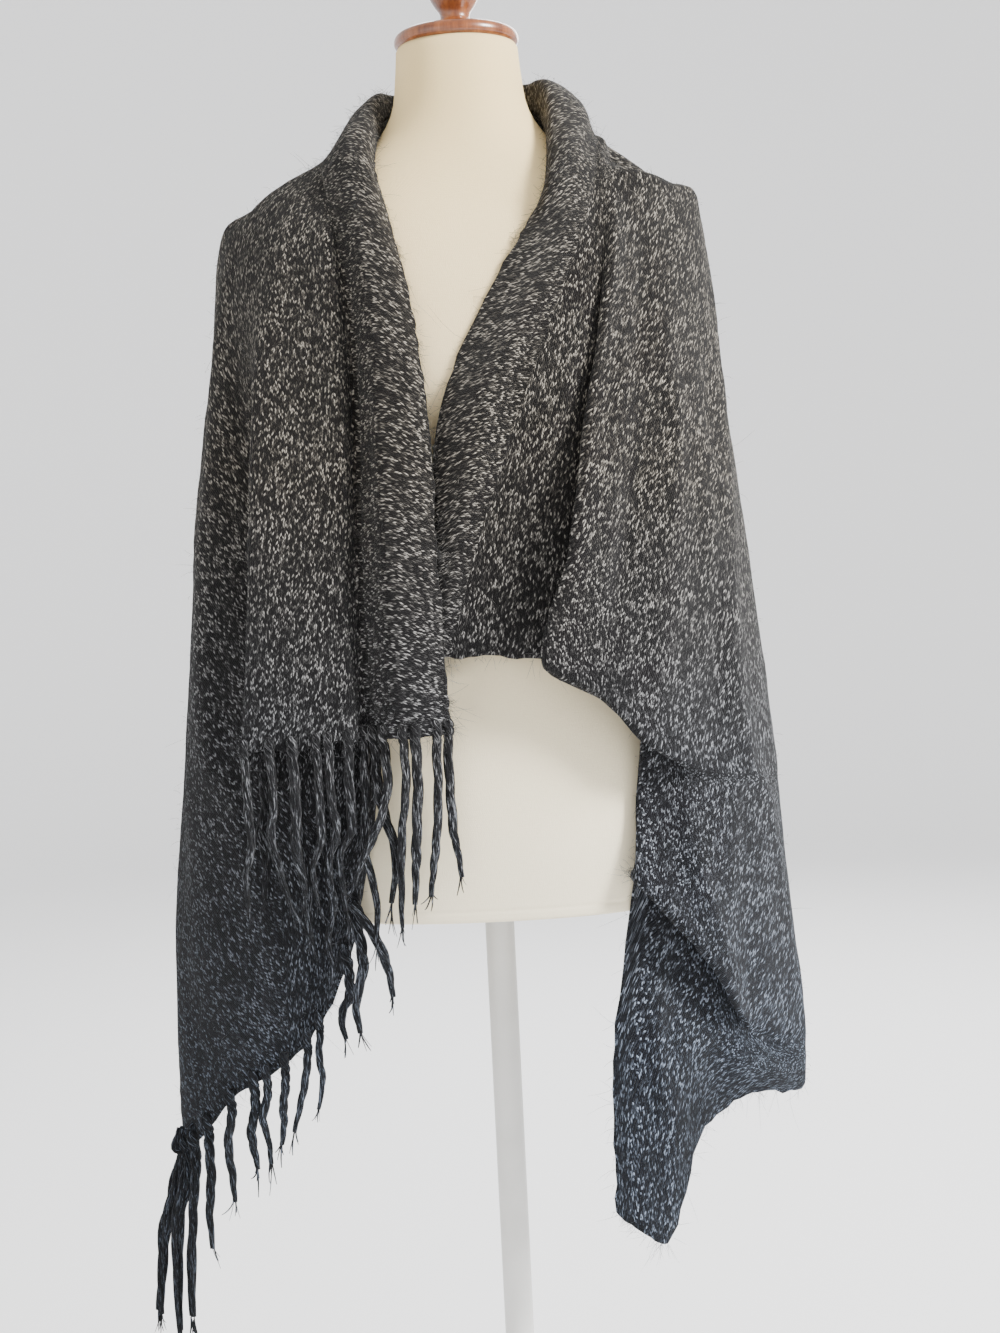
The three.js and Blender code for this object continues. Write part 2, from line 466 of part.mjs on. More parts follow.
// The wall of one piece of the wrap: both faces of its cells, closed round its border, and drawn back
// by half a seam where another piece goes on
function wallOf(piece) {
  const own = cells.filter((cell) => cell.piece === piece);
  const ownUse = new Map();
  for (const { corners } of own) {
    corners.forEach((corner, i) => {
      const key = edgeKey(corner, corners[(i + 1) % 4]);
      ownUse.set(key, (ownUse.get(key) ?? 0) + 1);
    });
  }
  const border = [];
  const inwards = new Map();
  for (const { corners } of own) {
    const middle = corners.reduce((sum, corner) => sum.add(corner), new THREE.Vector3()).divideScalar(4);
    corners.forEach((corner, i) => {
      const next = corners[(i + 1) % 4];
      const key = edgeKey(corner, next);
      if (ownUse.get(key) > 1) return;
      border.push([corner, next]);
      if (edgeUse.get(key) === 1) return;
      const along = next.clone().sub(corner).normalize();
      const inward = middle.clone().sub(corner);
      inward.addScaledVector(along, -inward.dot(along)).normalize();
      for (const end of [corner, next]) inwards.set(end, [...(inwards.get(end) ?? []), inward]);
    });
  }
  const used = [...new Set(own.flatMap((cell) => cell.corners))];
  const place = new Map(used.map((point, index) => [point, index]));
  const count = used.length;
  const vertices = [1, -1].flatMap((side) => used.map((point) => {
    const moved = point.clone();
    const directions = inwards.get(point);
    if (directions) {
      const mitre = directions.reduce((sum, d) => sum.add(d), new THREE.Vector3()).normalize();
      moved.addScaledVector(mitre, SEAM / 2 / Math.max(mitre.dot(directions[0]), 0.5));
    }
    return moved.addScaledVector(outwards[order.get(point)], (side * CLOTH) / 2);
  }));
  const triangles = [];
  for (const { corners } of own) {
    const [a, b, c, d] = corners.map((corner) => place.get(corner));
    const short = corners[0].distanceTo(corners[2]) <= corners[1].distanceTo(corners[3]);
    const halves = short ? [[a, b, c], [a, c, d]] : [[b, c, d], [b, d, a]];
    for (const [p, q, r] of halves) triangles.push([p, q, r], [r + count, q + count, p + count]);
  }
  for (const [from, to] of border) {
    const [p, q] = [place.get(from), place.get(to)];
    if (order.get(from) < order.get(to)) triangles.push([p, p + count, q + count], [p, q + count, q]);
    else triangles.push([p, p + count, q], [q, p + count, q + count]);
  }
  return solidGeometry(vertices, triangles);
}

// A solid through rings of points, closed at both ends
function loftGeometry(rings) {
  const count = rings[0].length;
  const vertices = [...rings.flat()];
  const triangles = [];
  for (let ring = 0; ring < rings.length - 1; ring += 1) {
    for (let k = 0; k < count; k += 1) {
      const next = (k + 1) % count;
      const [a, b] = [ring * count + k, ring * count + next];
      triangles.push([a, b, b + count], [a, b + count, a + count]);
    }
  }
  const middleOf = (ring) => ring.reduce((sum, p) => sum.add(p), new THREE.Vector3()).divideScalar(count);
  const lowEnd = vertices.push(middleOf(rings[0])) - 1;
  const highEnd = vertices.push(middleOf(rings.at(-1))) - 1;
  const top = (rings.length - 1) * count;
  for (let k = 0; k < count; k += 1) {
    const next = (k + 1) % count;
    triangles.push([lowEnd, next, k], [highEnd, top + k, top + next]);
  }
  return solidGeometry(vertices, triangles);
}

// The dress form, from its flat underside to the top of its neck
function torsoGeometry() {
  const sides = 32;
  const body = Array.from({ length: 12 }, (_, k) => k * 45);
  const shoulder = Array.from({ length: 13 }, (_, k) => 530 + k * 11);
  const heights = [...body, ...shoulder, 677, 694, NECK_HEIGHT];
  const rings = heights.map((high) => {
    const section = formSection(high);
    return Array.from({ length: sides }, (_, k) => {
      const angle = (2 * Math.PI * k) / sides;
      const [across, deep] = [Math.cos(angle), Math.sin(angle)];
      const power = 2 / section.square;
      const depth = deep < 0 ? section.front : section.back;
      return new THREE.Vector3(
        Math.sign(across) * Math.abs(across) ** power * section.half,
        Math.sign(deep) * Math.abs(deep) ** power * depth,
        FORM_BOTTOM + high,
      );
    });
  });
  return loftGeometry(rings);
}

// A turned piece about the upright axis: its profile is [radius, height] from the bottom up
function turned(profile, sides, bottom) {
  const outline = profile.map(([radius, high]) => new THREE.Vector2(radius, high));
  const geometry = new THREE.LatheGeometry(outline, sides);
  geometry.rotateX(Math.PI / 2);
  geometry.translate(0, 0, bottom);
  return geometry;
}

const capProfile = [
  [0, 0], [49, 0], [51.5, 2.5], [51.5, 7], [49, 10.5], [36, 14], [20, 18], [13, 22], [12.5, 27],
  [17, 34], [21, 42], [21, 50], [17, 59], [9, 66], [0, 68],
];

function standGeometries() {
  const { baseRadius, baseHeight, baseEdge, poleRadius } = STAND;
  const { socketRadius, socketHeight, flangeRadius, flangeHeight } = STAND;
  const socketTop = baseHeight + SEAM + socketHeight;
  const poleTop = FORM_BOTTOM - SEAM - flangeHeight - SEAM;
  return {
    stand_base: turned([
      [0, 0], [baseRadius, 0], [baseRadius, baseHeight - baseEdge], [baseRadius - baseEdge, baseHeight],
      [0, baseHeight],
    ], 40, 0),
    stand_socket: turned([
      [0, 0], [socketRadius + 8, 0], [socketRadius, 8], [socketRadius - 4, socketHeight], [0, socketHeight],
    ], 24, baseHeight + SEAM),
    stand_pole: turned([
      [0, 0], [poleRadius, 0], [poleRadius, poleTop - socketTop - SEAM], [0, poleTop - socketTop - SEAM],
    ], 24, socketTop + SEAM),
    stand_flange: turned([
      [0, 0], [poleRadius + 8, 0], [flangeRadius, flangeHeight - 2], [flangeRadius, flangeHeight],
      [0, flangeHeight],
    ], 24, FORM_BOTTOM - SEAM - flangeHeight),
  };
}

// A closed geometry as a solid that can be joined, and back
function toSolid(geometry) {
  const bare = geometry.clone();
  bare.deleteAttribute("normal");
  bare.deleteAttribute("uv");
  const merged = mergeVertices(bare, 1e-4);
  return new wasm.Manifold(new wasm.Mesh({
    numProp: 3,
    vertProperties: new Float32Array(merged.attributes.position.array),
    triVerts: new Uint32Array(merged.index.array),
  }));
}

function fromSolid(solid) {
  const mesh = solid.getMesh();
  const geometry = new THREE.BufferGeometry();
  geometry.setAttribute("position", new THREE.Float32BufferAttribute(mesh.vertProperties, 3));
  geometry.setIndex(Array.from(mesh.triVerts));
  return geometry;
}

// The strip just below a stretch of the hem, as rings across the cloth's thickness
function fringeStrip(first, last) {
  const [above, hem] = [mainGrid.at(-2), mainGrid.at(-1)];
  const knots = [];
  const rings = [];
  for (let column = first; column <= last; column += 1) {
    const along = hem[Math.min(column + 1, last)].clone().sub(hem[Math.max(column - 1, first)]).normalize();
    const beside = hem[column + (column === first) - (column === last)];
    const part = STRIP_INSET / Math.max(beside.distanceTo(hem[column]), STRIP_INSET);
    const start = hem[column].clone().lerp(beside, part);
    const out = outwards[order.get(hem[column])].clone().lerp(outwards[order.get(beside)], part).normalize();
    const below = along.clone().cross(out).normalize();
    if (below.dot(hem[column].clone().sub(above[column])) < 0) below.negate();
    knots.push(start.clone().addScaledVector(below, STRIP_GAP + STRIP - KNOT_LIFT));
    rings.push([[-1, 0], [-1, STRIP], [1, STRIP], [1, 0]].map(([side, drop]) => (
      start.clone().addScaledVector(below, STRIP_GAP + drop).addScaledVector(out, (side * CLOTH) / 2)
    )));
  }
  return { geometry: loftGeometry(rings), knots: smoothCurve(knots) };
}

// One flat strand, four-sided, from its knot in the strip down to its tip
function strandGeometry(knot, strand) {
  const path = smoothCurve([
    knot,
    ...["low", "mid", "bend",
      "tip"].map((name) => new THREE.Vector3(strand[name][0], strand.deep, strand[name][1])),
  ]);
  const rings = Array.from({ length: STRAND.steps + 1 }, (_, k) => {
    const centre = path.getPoint(k / STRAND.steps);
    const tangent = path.getTangent(k / STRAND.steps);
    const across = new THREE.Vector3(-tangent.z, 0, tangent.x).setLength(STRAND.half);
    const thick = new THREE.Vector3(0, STRAND.thick, 0);
    return [[1, 0], [0, 1], [-1, 0], [0, -1]].map(([a, b]) => (
      centre.clone().addScaledVector(across, a).addScaledVector(thick, b)
    ));
  });
  return loftGeometry(rings.reverse());
}

function fringeGeometry(fringe) {
  const { geometry, knots } = fringeStrip(columnOf(mainLines, fringe.from), columnOf(mainLines, fringe.to));
  const strands = fringe.strands.map((strand) => (
    toSolid(strandGeometry(knots.getPointAt(strand.along), strand))
  ));
  return fromSolid(strands.reduce((joined, strand) => joined.add(strand), toSolid(geometry)));
}

const group = new THREE.Group();
function addPiece(name, geometry, material) {
  const mesh = new THREE.Mesh(geometry, material);
  mesh.name = name;
  group.add(mesh);
}

for (const piece of [...mainPieces, "front_right", "band_right",
  "collar"]) addPiece(piece, wallOf(piece), COLOURS.knit);
for (const fringe of FRINGES) addPiece(fringe.name, fringeGeometry(fringe), COLOURS.fringe);
addPiece("torso", torsoGeometry(), COLOURS.linen);
addPiece("neck_cap", turned(capProfile, 24, FORM_BOTTOM + NECK_HEIGHT + SEAM), COLOURS.wood);
for (const [name, geometry] of Object.entries(standGeometries())) addPiece(name, geometry, COLOURS.paint);

export default group;
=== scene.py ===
"""Looks of a fringed knitted wrap, worn open like a cardigan over a limbless dress form on a stand."""

import logging
import math
from dataclasses import dataclass, field
from enum import Enum

import bpy
import numpy as np
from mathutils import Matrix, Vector


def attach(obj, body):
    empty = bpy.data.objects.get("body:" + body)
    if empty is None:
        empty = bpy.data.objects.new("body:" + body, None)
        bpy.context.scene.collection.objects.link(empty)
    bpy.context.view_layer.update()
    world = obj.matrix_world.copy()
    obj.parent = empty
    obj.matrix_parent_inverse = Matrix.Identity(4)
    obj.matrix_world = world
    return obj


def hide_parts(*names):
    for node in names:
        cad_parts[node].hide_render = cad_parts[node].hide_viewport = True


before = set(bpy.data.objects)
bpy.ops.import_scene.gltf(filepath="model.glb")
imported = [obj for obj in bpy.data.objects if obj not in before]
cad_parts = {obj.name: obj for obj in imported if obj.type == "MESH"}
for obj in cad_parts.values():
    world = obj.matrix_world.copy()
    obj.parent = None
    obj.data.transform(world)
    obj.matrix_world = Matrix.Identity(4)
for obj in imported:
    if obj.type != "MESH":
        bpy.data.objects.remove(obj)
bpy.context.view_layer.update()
log = logging.getLogger("wrap")

# Driving dimensions, in millimetres as in the part's source
MM = 0.001
CLOTH = 3.0
REST = 1.5
SEAM = 0.3
FORM_BOTTOM = 757.0
NECK_HEIGHT = 714.0
FINE = 4  # fine cells to a cell of the part's grid, each way
BAND_CELLS = 2
FORM_CLEAR = CLOTH / 2 + REST  # from the form to the wrap's middle surface
FORM_CLEAR_CREASED = CLOTH / 2 + 0.8  # the same where a trough draws the cloth in

# Moving points clear of the form: the step that finds its slope, the passes, and the longest move in one
FORM_PROBE = 0.5
FORM_PASSES = 12
FORM_MOVE = 4

# Angles that the wales lean by from a fold's own run, in degrees
BAND_LEAN = 90
LEFT_LEAN = 34
RIGHT_LEAN = -24

# How the collar leaves the crease at the shoulders: this far out and down, in millimetres
COLLAR_OUT = 30
COLLAR_DOWN = 16

CURVE_SAMPLES = 400
SHORTEST_SPAN = 0.01
NOISE_TABLE = 4096
NOISE_PRIMES = (73856093, 19349663, 83492791)
TINY = 1e-9

# A tube's sides are set out from a direction that no tube runs along. It keeps most of its radius up to
# the place where it starts to narrow, and its flecks are moved on from those of the tube before it
TUBE_ASIDE = (0.03, 1.0, 0.05)
TUBE_NARROWS_AT = 0.7
TUBE_RADIUS_THERE = 0.9
TUBE_GRAIN_STEP = 0.173

# The form's sections: height above its underside, half width, front depth, back depth and squareness
SECTIONS = np.array([
    (0, 165, 111, 112, 2.4),
    (60, 171, 115, 120, 2.4),
    (130, 165, 112, 115, 2.4),
    (220, 136, 98, 93, 2.3),
    (285, 122, 92, 84, 2.3),
    (350, 132, 100, 91, 2.3),
    (430, 150, 118, 102, 2.4),
    (500, 160, 108, 107, 2.5),
    (540, 172, 94, 102, 2.5),
    (570, 170, 80, 92, 2.4),
    (590, 146, 72, 84, 2.3),
    (606, 116, 67, 76, 2.2),
    (622, 90, 62, 68, 2.1),
    (640, 70, 57, 59, 2),
    (662, 57, 54, 53, 2),
    (690, 52.5, 52.5, 51, 2),
    (714, 50.5, 50.5, 50, 2),
], float)

# Sections across the band, from the left hem up round the neck and down to the right end, each with
# its free edge, the inner and the outer side of its roll, and the crease where it meets the wrap
BAND_LINES = ("edge", "rise", "top", "crease")
BAND = np.array([
    [(-31, -127, 914), (-48, -136, 913), (-71, -138, 912), (-97, -118, 911)],
    [(-34, -128, 1026), (-50, -138, 1027), (-71, -140, 1028), (-98, -114, 1030)],
    [(-35, -130, 1143), (-49, -140, 1143), (-70, -140, 1145), (-94, -114, 1149)],
    [(-43, -120, 1236), (-55, -130, 1237), (-73, -130, 1240), (-95, -106, 1245)],
    [(-58, -90, 1311), (-67, -102, 1315), (-83, -100, 1320), (-105, -78, 1327)],
    [(-69, -68, 1351), (-77, -77, 1364), (-91, -68, 1374), (-112, -44, 1367)],
    [(-64, 6, 1416), (-68, 12, 1437), (-83, 4, 1426), (-113, 5, 1385)],
    [(-48, 44, 1424), (-52, 50, 1444), (-62, 62, 1440), (-84, 84, 1398)],
    [(0, 60, 1424), (0, 66, 1447), (0, 79, 1445), (0, 106, 1396)],
    [(50, 44, 1426), (55, 50, 1448), (68, 62, 1444), (86, 84, 1402)],
    [(66, 6, 1414), (72, 10, 1441), (99, 3, 1424), (111, 2, 1394)],
    [(65, -77, 1338), (71, -84, 1355), (89, -73, 1370), (106, -47, 1363)],
    [(45, -97, 1302), (61, -104, 1300), (79, -102, 1304), (93, -89, 1307)],
    [(1, -118, 1234), (16, -126, 1234), (40, -126, 1238), (66, -111, 1240)],
    [(-30, -122, 1149), (-18, -130, 1148), (5, -134, 1150), (30, -114, 1150)],
    [(-40, -112, 1073), (-29, -119, 1072), (-15, -122, 1072), (1, -112, 1071)],
    [(-52, -108, 980), (-44, -112, 978), (-36, -114, 976), (-28, -112, 973)],
], float)
THROAT_LEFT, THROAT_RIGHT = 5, 11

# Folds of the body of the wrap, each a line from the collar's crease down to the hem. ring is the row
# of BAND where it starts. A point is (across, deep), at its column's height, or (across, deep, high)
LEFT_HEIGHT = {
    "roll": 1385, "slope": 1350, "tip": 1348, "shoulder": 1313, "chest": 1241, "waist": 1148,
    "hip": 1028, "thigh": 866, "calf": 732, "hem": 800,
}
LEFT_FOLDS = [
    {"fold": "welt", "cells": 2, "ring": 5.2, "tip": (-110, -58, 1347), "shoulder": (-109, -86),
     "chest": (-107, -110), "waist": (-106, -124), "hip": (-110, -124), "hem": (-112, -128, 910)},
    {"fold": "panel", "cells": 2, "ring": 5.42, "tip": (-126, -50), "shoulder": (-132, -76),
     "chest": (-134, -102), "waist": (-136, -120), "hip": (-144, -125), "hem": (-151, -129, 906)},
    {"fold": "front fold", "cells": 2, "ring": 5.62, "tip": (-143, -42), "shoulder": (-158, -60),
     "chest": (-165, -88), "waist": (-171, -108), "hip": (-183, -117), "hem": (-195, -124, 903)},
    {"fold": "return", "cells": 2, "ring": 5.74, "tip": (-151, -34, 1350), "shoulder": (-168, -49),
     "chest": (-175, -73), "waist": (-170, -88), "hip": (-162, -103), "hem": (-153, -116, 866)},
    {"fold": "turn", "cells": 2, "ring": 5.85, "tip": (-158, -26), "shoulder": (-177, -40),
     "chest": (-183, -60), "waist": (-170, -66), "hip": (-133, -88), "thigh": (-94, -110, 884),
     "hem": (-114, -108, 784)},
    {"fold": "under", "cells": 2, "ring": 5.95, "tip": (-165, -20), "shoulder": (-183, -32),
     "chest": (-191, -49), "waist": (-184, -54), "hip": (-160, -67), "thigh": (-124, -92),
     "hem": (-140, -90, 693)},
    {"fold": "left drop", "cells": 2, "ring": 6.04, "tip": (-173, -14, 1345), "shoulder": (-190, -24),
     "chest": (-199, -40), "waist": (-202, -48), "hip": (-191, -60), "thigh": (-176, -76),
     "calf": (-176, -84), "hem": (-177, -82, 645)},
    {"fold": "left outer", "cells": 2, "ring": 6.13, "slope": (-150, -5, 1352), "tip": (-183, -8, 1340),
     "shoulder": (-199, -14), "chest": (-211, -26), "waist": (-220, -36), "hip": (-229, -46),
     "thigh": (-239, -55), "calf": (-238, -64), "hem": (-223, -70, 615)},
    {"fold": "left side", "cells": 2, "ring": 6.25, "roll": (-121, 17, 1376), "slope": (-157, 6),
     "tip": (-196, 2, 1336), "shoulder": (-207, 5), "chest": (-216, 3), "waist": (-230, -2),
     "hip": (-245, -9), "thigh": (-262, -16), "calf": (-275, -22), "hem": (-274, -36, 563)},
    {"fold": "left back edge", "cells": 2, "ring": 6.45, "slope": (-150, 14), "tip": (-187, 18, 1338),
     "shoulder": (-206, 32), "chest": (-216, 42), "waist": (-229, 46), "hip": (-241, 46),
     "thigh": (-256, 43), "calf": (-262, 36), "hem": (-263, 28, 635)},
    {"fold": "left back", "cells": 4, "ring": 6.8, "tip": (-160, 46, 1345), "shoulder": (-187, 76),
     "chest": (-196, 92), "waist": (-200, 98), "hip": (-204, 101), "thigh": (-209, 104),
     "hem": (-210, 106, 714)},
    {"fold": "left blade", "cells": 4, "ring": 7.4, "tip": (-88, 90, 1366), "shoulder": (-97, 101),
     "chest": (-102, 113), "waist": (-104, 116), "hip": (-106, 116), "thigh": (-108, 134),
     "hem": (-109, 138, 775)},
    {"fold": "centre back", "cells": 4, "ring": 8, "tip": (0, 98, 1372), "shoulder": (0, 102),
     "chest": (0, 113), "waist": (0, 108), "hip": (2, 103), "hem": (2, 124, 838)},
    {"fold": "right blade", "cells": 4, "ring": 8.7, "tip": (88, 90, 1368), "shoulder": (96, 101),
     "chest": (99, 113), "waist": (100, 118), "hip": (101, 119), "thigh": (102, 135),
     "hem": (103, 139, 764)},
    {"fold": "right back", "cells": 2, "ring": 9.4, "tip": (154, 46, 1350), "shoulder": (176, 76),
     "chest": (183, 92), "waist": (187, 98), "hip": (189, 101), "thigh": (186, 104),
     "hem": (180, 106, 695)},
    {"fold": "right back edge", "cells": 2, "ring": 9.75, "tip": (176, 18, 1344), "shoulder": (194, 34),
     "chest": (204, 42), "waist": (213, 46), "hip": (224, 46), "thigh": (236, 43),
     "hem": (243, 22, 639)},
]

# The right drop hangs with two sagging tucks, so all its folds have the same columns
RIGHT_COLUMNS = (
    "ring", "roll", "dip", "slope", "tip", "shoulder", "chest", "waist", "lip", "tuck", "thigh", "fall",
    "under", "calf", "hem",
)
ROWS = (1, 1, 1, 1, 2, 3, 4, 4, 2, 2, 2, 2, 2, 3)
RIGHT_HEIGHT = {"shoulder": 1294, "chest": 1175, "waist": 1050}
RIGHT_FOLDS = [
    {"fold": "right side", "cells": 2, "ring": 9.8, "roll": (117, 10, 1386), "dip": (125, 7, 1369),
     "slope": (157, 4, 1350), "tip": (190, 2, 1346), "shoulder": (197, 4, 1312), "chest": (210, 2),
     "waist": (224, 0), "lip": (242, -4, 859), "tuck": (242, -4, 846), "thigh": (246, -6, 772),
     "fall": (255, -14, 640), "under": (255, -15, 628), "calf": (255, -17, 606), "hem": (254, -20, 584)},
    {"fold": "right outer", "cells": 2, "ring": 9.98, "roll": (118, -6, 1388), "dip": (124, -8, 1367),
     "slope": (150, -12, 1350), "tip": (174, -16, 1347), "shoulder": (184, -40), "chest": (189, -62),
     "waist": (195, -74), "lip": (204, -76, 865), "tuck": (205, -75, 854), "thigh": (206, -74, 774),
     "fall": (205, -72, 655), "under": (205, -68, 644), "calf": (204, -66, 620), "hem": (204, -62, 593)},
    {"fold": "right drop", "cells": 2, "ring": 10.14, "roll": (117, -14, 1383), "dip": (123, -17, 1368),
     "slope": (141, -24, 1353), "tip": (157, -30, 1352), "shoulder": (160, -58), "chest": (155, -90),
     "waist": (155, -104), "lip": (164, -108, 877), "tuck": (166, -99, 863), "thigh": (169, -98, 787),
     "fall": (172, -102, 714), "under": (174, -84, 716), "calf": (166, -78, 643),
     "hem": (162, -74, 570)},
    {"fold": "flap", "cells": 2, "ring": 10.32, "roll": (116, -22, 1378), "dip": (121, -25, 1364),
     "slope": (131, -32, 1360), "tip": (141, -40, 1355), "shoulder": (141, -72), "chest": (129, -106),
     "waist": (120, -124), "lip": (124, -130, 902), "tuck": (140, -106, 897), "thigh": (143, -102, 818),
     "fall": (145, -110, 748), "under": (148, -92, 752), "calf": (134, -91, 631),
     "hem": (126, -86, 477)},
    {"fold": "tongue", "cells": 1, "ring": 10.5, "roll": (115, -29, 1373), "dip": (118, -33, 1364),
     "slope": (122, -40, 1359), "tip": (126, -48, 1352), "shoulder": (127, -82), "chest": (109, -112),
     "waist": (95, -136), "lip": (88, -141, 942), "tuck": (129, -109, 915), "thigh": (129, -103, 832),
     "fall": (130, -113, 766), "under": (133, -97, 772), "calf": (113, -96, 638),
     "hem": (105, -90, 488)},
    {"fold": "lip", "cells": 1, "ring": 10.64, "roll": (113, -34, 1370), "dip": (115, -39, 1363),
     "slope": (117, -46, 1356), "tip": (118, -54, 1348), "shoulder": (117, -92), "chest": (93, -118),
     "waist": (71, -141), "lip": (47, -144, 963), "tuck": (117, -112, 930), "thigh": (115, -104, 841),
     "fall": (114, -115, 782), "under": (121, -100, 785), "calf": (100, -98, 642),
     "hem": (95, -91, 498)},
    {"fold": "valley", "cells": 2, "ring": 10.76, "roll": (111, -38, 1367), "dip": (112, -43, 1361),
     "slope": (113, -50, 1354), "tip": (112, -58, 1345), "shoulder": (110, -87), "chest": (97, -101),
     "waist": (82, -108), "lip": (72, -112, 963), "tuck": (125, -99, 922), "thigh": (124, -94, 838),
     "fall": (108, -112, 789), "under": (111, -99, 791), "calf": (90, -97, 646), "hem": (85, -90, 507)},
]
FRONT_COLUMNS = RIGHT_COLUMNS[:RIGHT_COLUMNS.index("lip") + 1]
FRONT_FOLDS = [
    {"fold": "front panel", "cells": 2, "ring": 10.88, "roll": (109, -43, 1362), "dip": (109, -48, 1357),
     "slope": (108, -54, 1351), "tip": (107, -62, 1341), "shoulder": (100, -89), "chest": (70, -114),
     "waist": (36, -113), "lip": (18, -112, 970)},
]
RIGHT_BAND_AT = (11, 11.1, 11.2, 11.35, 11.5, 12.15, 13.7, 15.2, 16)

# Strands of the fringe by the fold where their stretch of the hem starts and ends. low, mid, bend and
# tip are (across, high) at one depth, and clump is how many strands hang there together
FRINGES = {
    "fringe_front": ("edge", "front fold", [
        {"deep": -128, "low": (-33, 870), "mid": (-32, 835), "bend": (-29, 817), "tip": (-27, 794)},
        {"deep": -133, "low": (-42, 871), "mid": (-46, 827), "bend": (-49, 806), "tip": (-53, 780)},
        {"deep": -137, "low": (-58, 872), "mid": (-61, 829), "bend": (-63, 806), "tip": (-65, 774)},
        {"deep": -138, "low": (-67, 872), "mid": (-72, 838), "bend": (-75, 790), "tip": (-76, 756)},
        {"deep": -136, "low": (-82, 872), "mid": (-93, 838), "bend": (-105, 816), "tip": (-114, 792)},
        {"deep": -126, "low": (-90, 878), "mid": (-86, 852), "bend": (-79, 819), "tip": (-85, 771)},
        {"deep": -124, "low": (-100, 863), "mid": (-103, 823), "bend": (-96, 784), "tip": (-98, 740)},
        {"deep": -127, "low": (-112, 868), "mid": (-113, 838), "bend": (-122, 822), "tip": (-119, 764)},
        {"deep": -129, "low": (-127, 865), "mid": (-124, 840), "bend": (-131, 817), "tip": (-129, 786)},
        {"deep": -129, "low": (-136, 865), "mid": (-137, 832), "bend": (-144, 813), "tip": (-141, 774)},
        {"deep": -128, "low": (-155, 862), "mid": (-157, 826), "bend": (-153, 806), "tip": (-152, 786)},
        {"deep": -126, "low": (-173, 863), "mid": (-176, 836), "bend": (-170, 806), "tip": (-163, 775)},
        {"deep": -129, "low": (-193, 868), "mid": (-192, 828), "bend": (-198, 807), "tip": (-196, 776)},
    ]),
    "fringe_middle": ("front fold", "turn", [
        {"deep": -117, "low": (-180, 858), "mid": (-185, 841), "bend": (-182, 817), "tip": (-186, 780)},
        {"deep": -114, "low": (-155, 834), "mid": (-151, 800), "bend": (-152, 770), "tip": (-150, 742)},
        {"deep": -113, "low": (-135, 806), "mid": (-131, 780), "bend": (-137, 752), "tip": (-134, 724)},
        {"deep": -116, "low": (-112, 773), "mid": (-98, 748), "bend": (-90, 724), "tip": (-87, 697)},
    ]),
    "fringe_inner": ("turn", "under", [
        {"deep": -109, "low": (-112, 748), "mid": (-111, 724), "bend": (-118, 692), "tip": (-115, 667)},
        {"deep": -98, "low": (-123, 712), "mid": (-124, 700), "bend": (-131, 684), "tip": (-128, 660)},
    ]),
    "fringe_lower": ("under", "left side", [
        {"deep": -92, "low": (-150, 668), "mid": (-152, 650), "bend": (-150, 630), "tip": (-156, 600)},
        {"deep": -91, "low": (-161, 652), "mid": (-164, 632), "bend": (-170, 608), "tip": (-177, 583)},
        {"deep": -88, "low": (-181, 626), "mid": (-184, 610), "bend": (-184, 594), "tip": (-188, 572)},
        {"deep": -84, "low": (-197, 615), "mid": (-202, 598), "bend": (-198, 578), "tip": (-197, 555)},
        {"deep": -81, "low": (-208, 606), "mid": (-212, 588), "bend": (-211, 570), "tip": (-208, 551)},
        {"deep": -75, "low": (-229, 596), "mid": (-233, 574), "bend": (-231, 546), "tip": (-230, 521)},
        {"deep": -62, "low": (-251, 568), "mid": (-251, 542), "bend": (-254, 512), "tip": (-253, 475)},
        {"deep": -53, "low": (-265, 545), "mid": (-269, 516), "bend": (-272, 474), "tip": (-275, 408),
         "clump": 2},
        {"deep": -45, "low": (-273, 538), "mid": (-281, 506), "bend": (-285, 460), "tip": (-288, 393),
         "clump": 3},
        {"deep": -37, "low": (-284, 532), "mid": (-294, 500), "bend": (-300, 456), "tip": (-306, 411),
         "clump": 3},
    ]),
}
STRAND_PATH = ("low", "mid", "bend", "tip")


@dataclass(frozen=True)
class Crease:
    """A soft ridge or trough of the cloth, along (fold, part of the way from the collar to the hem), with
    its height, negative for a trough, and its half width."""

    path: tuple
    height: float
    width: float


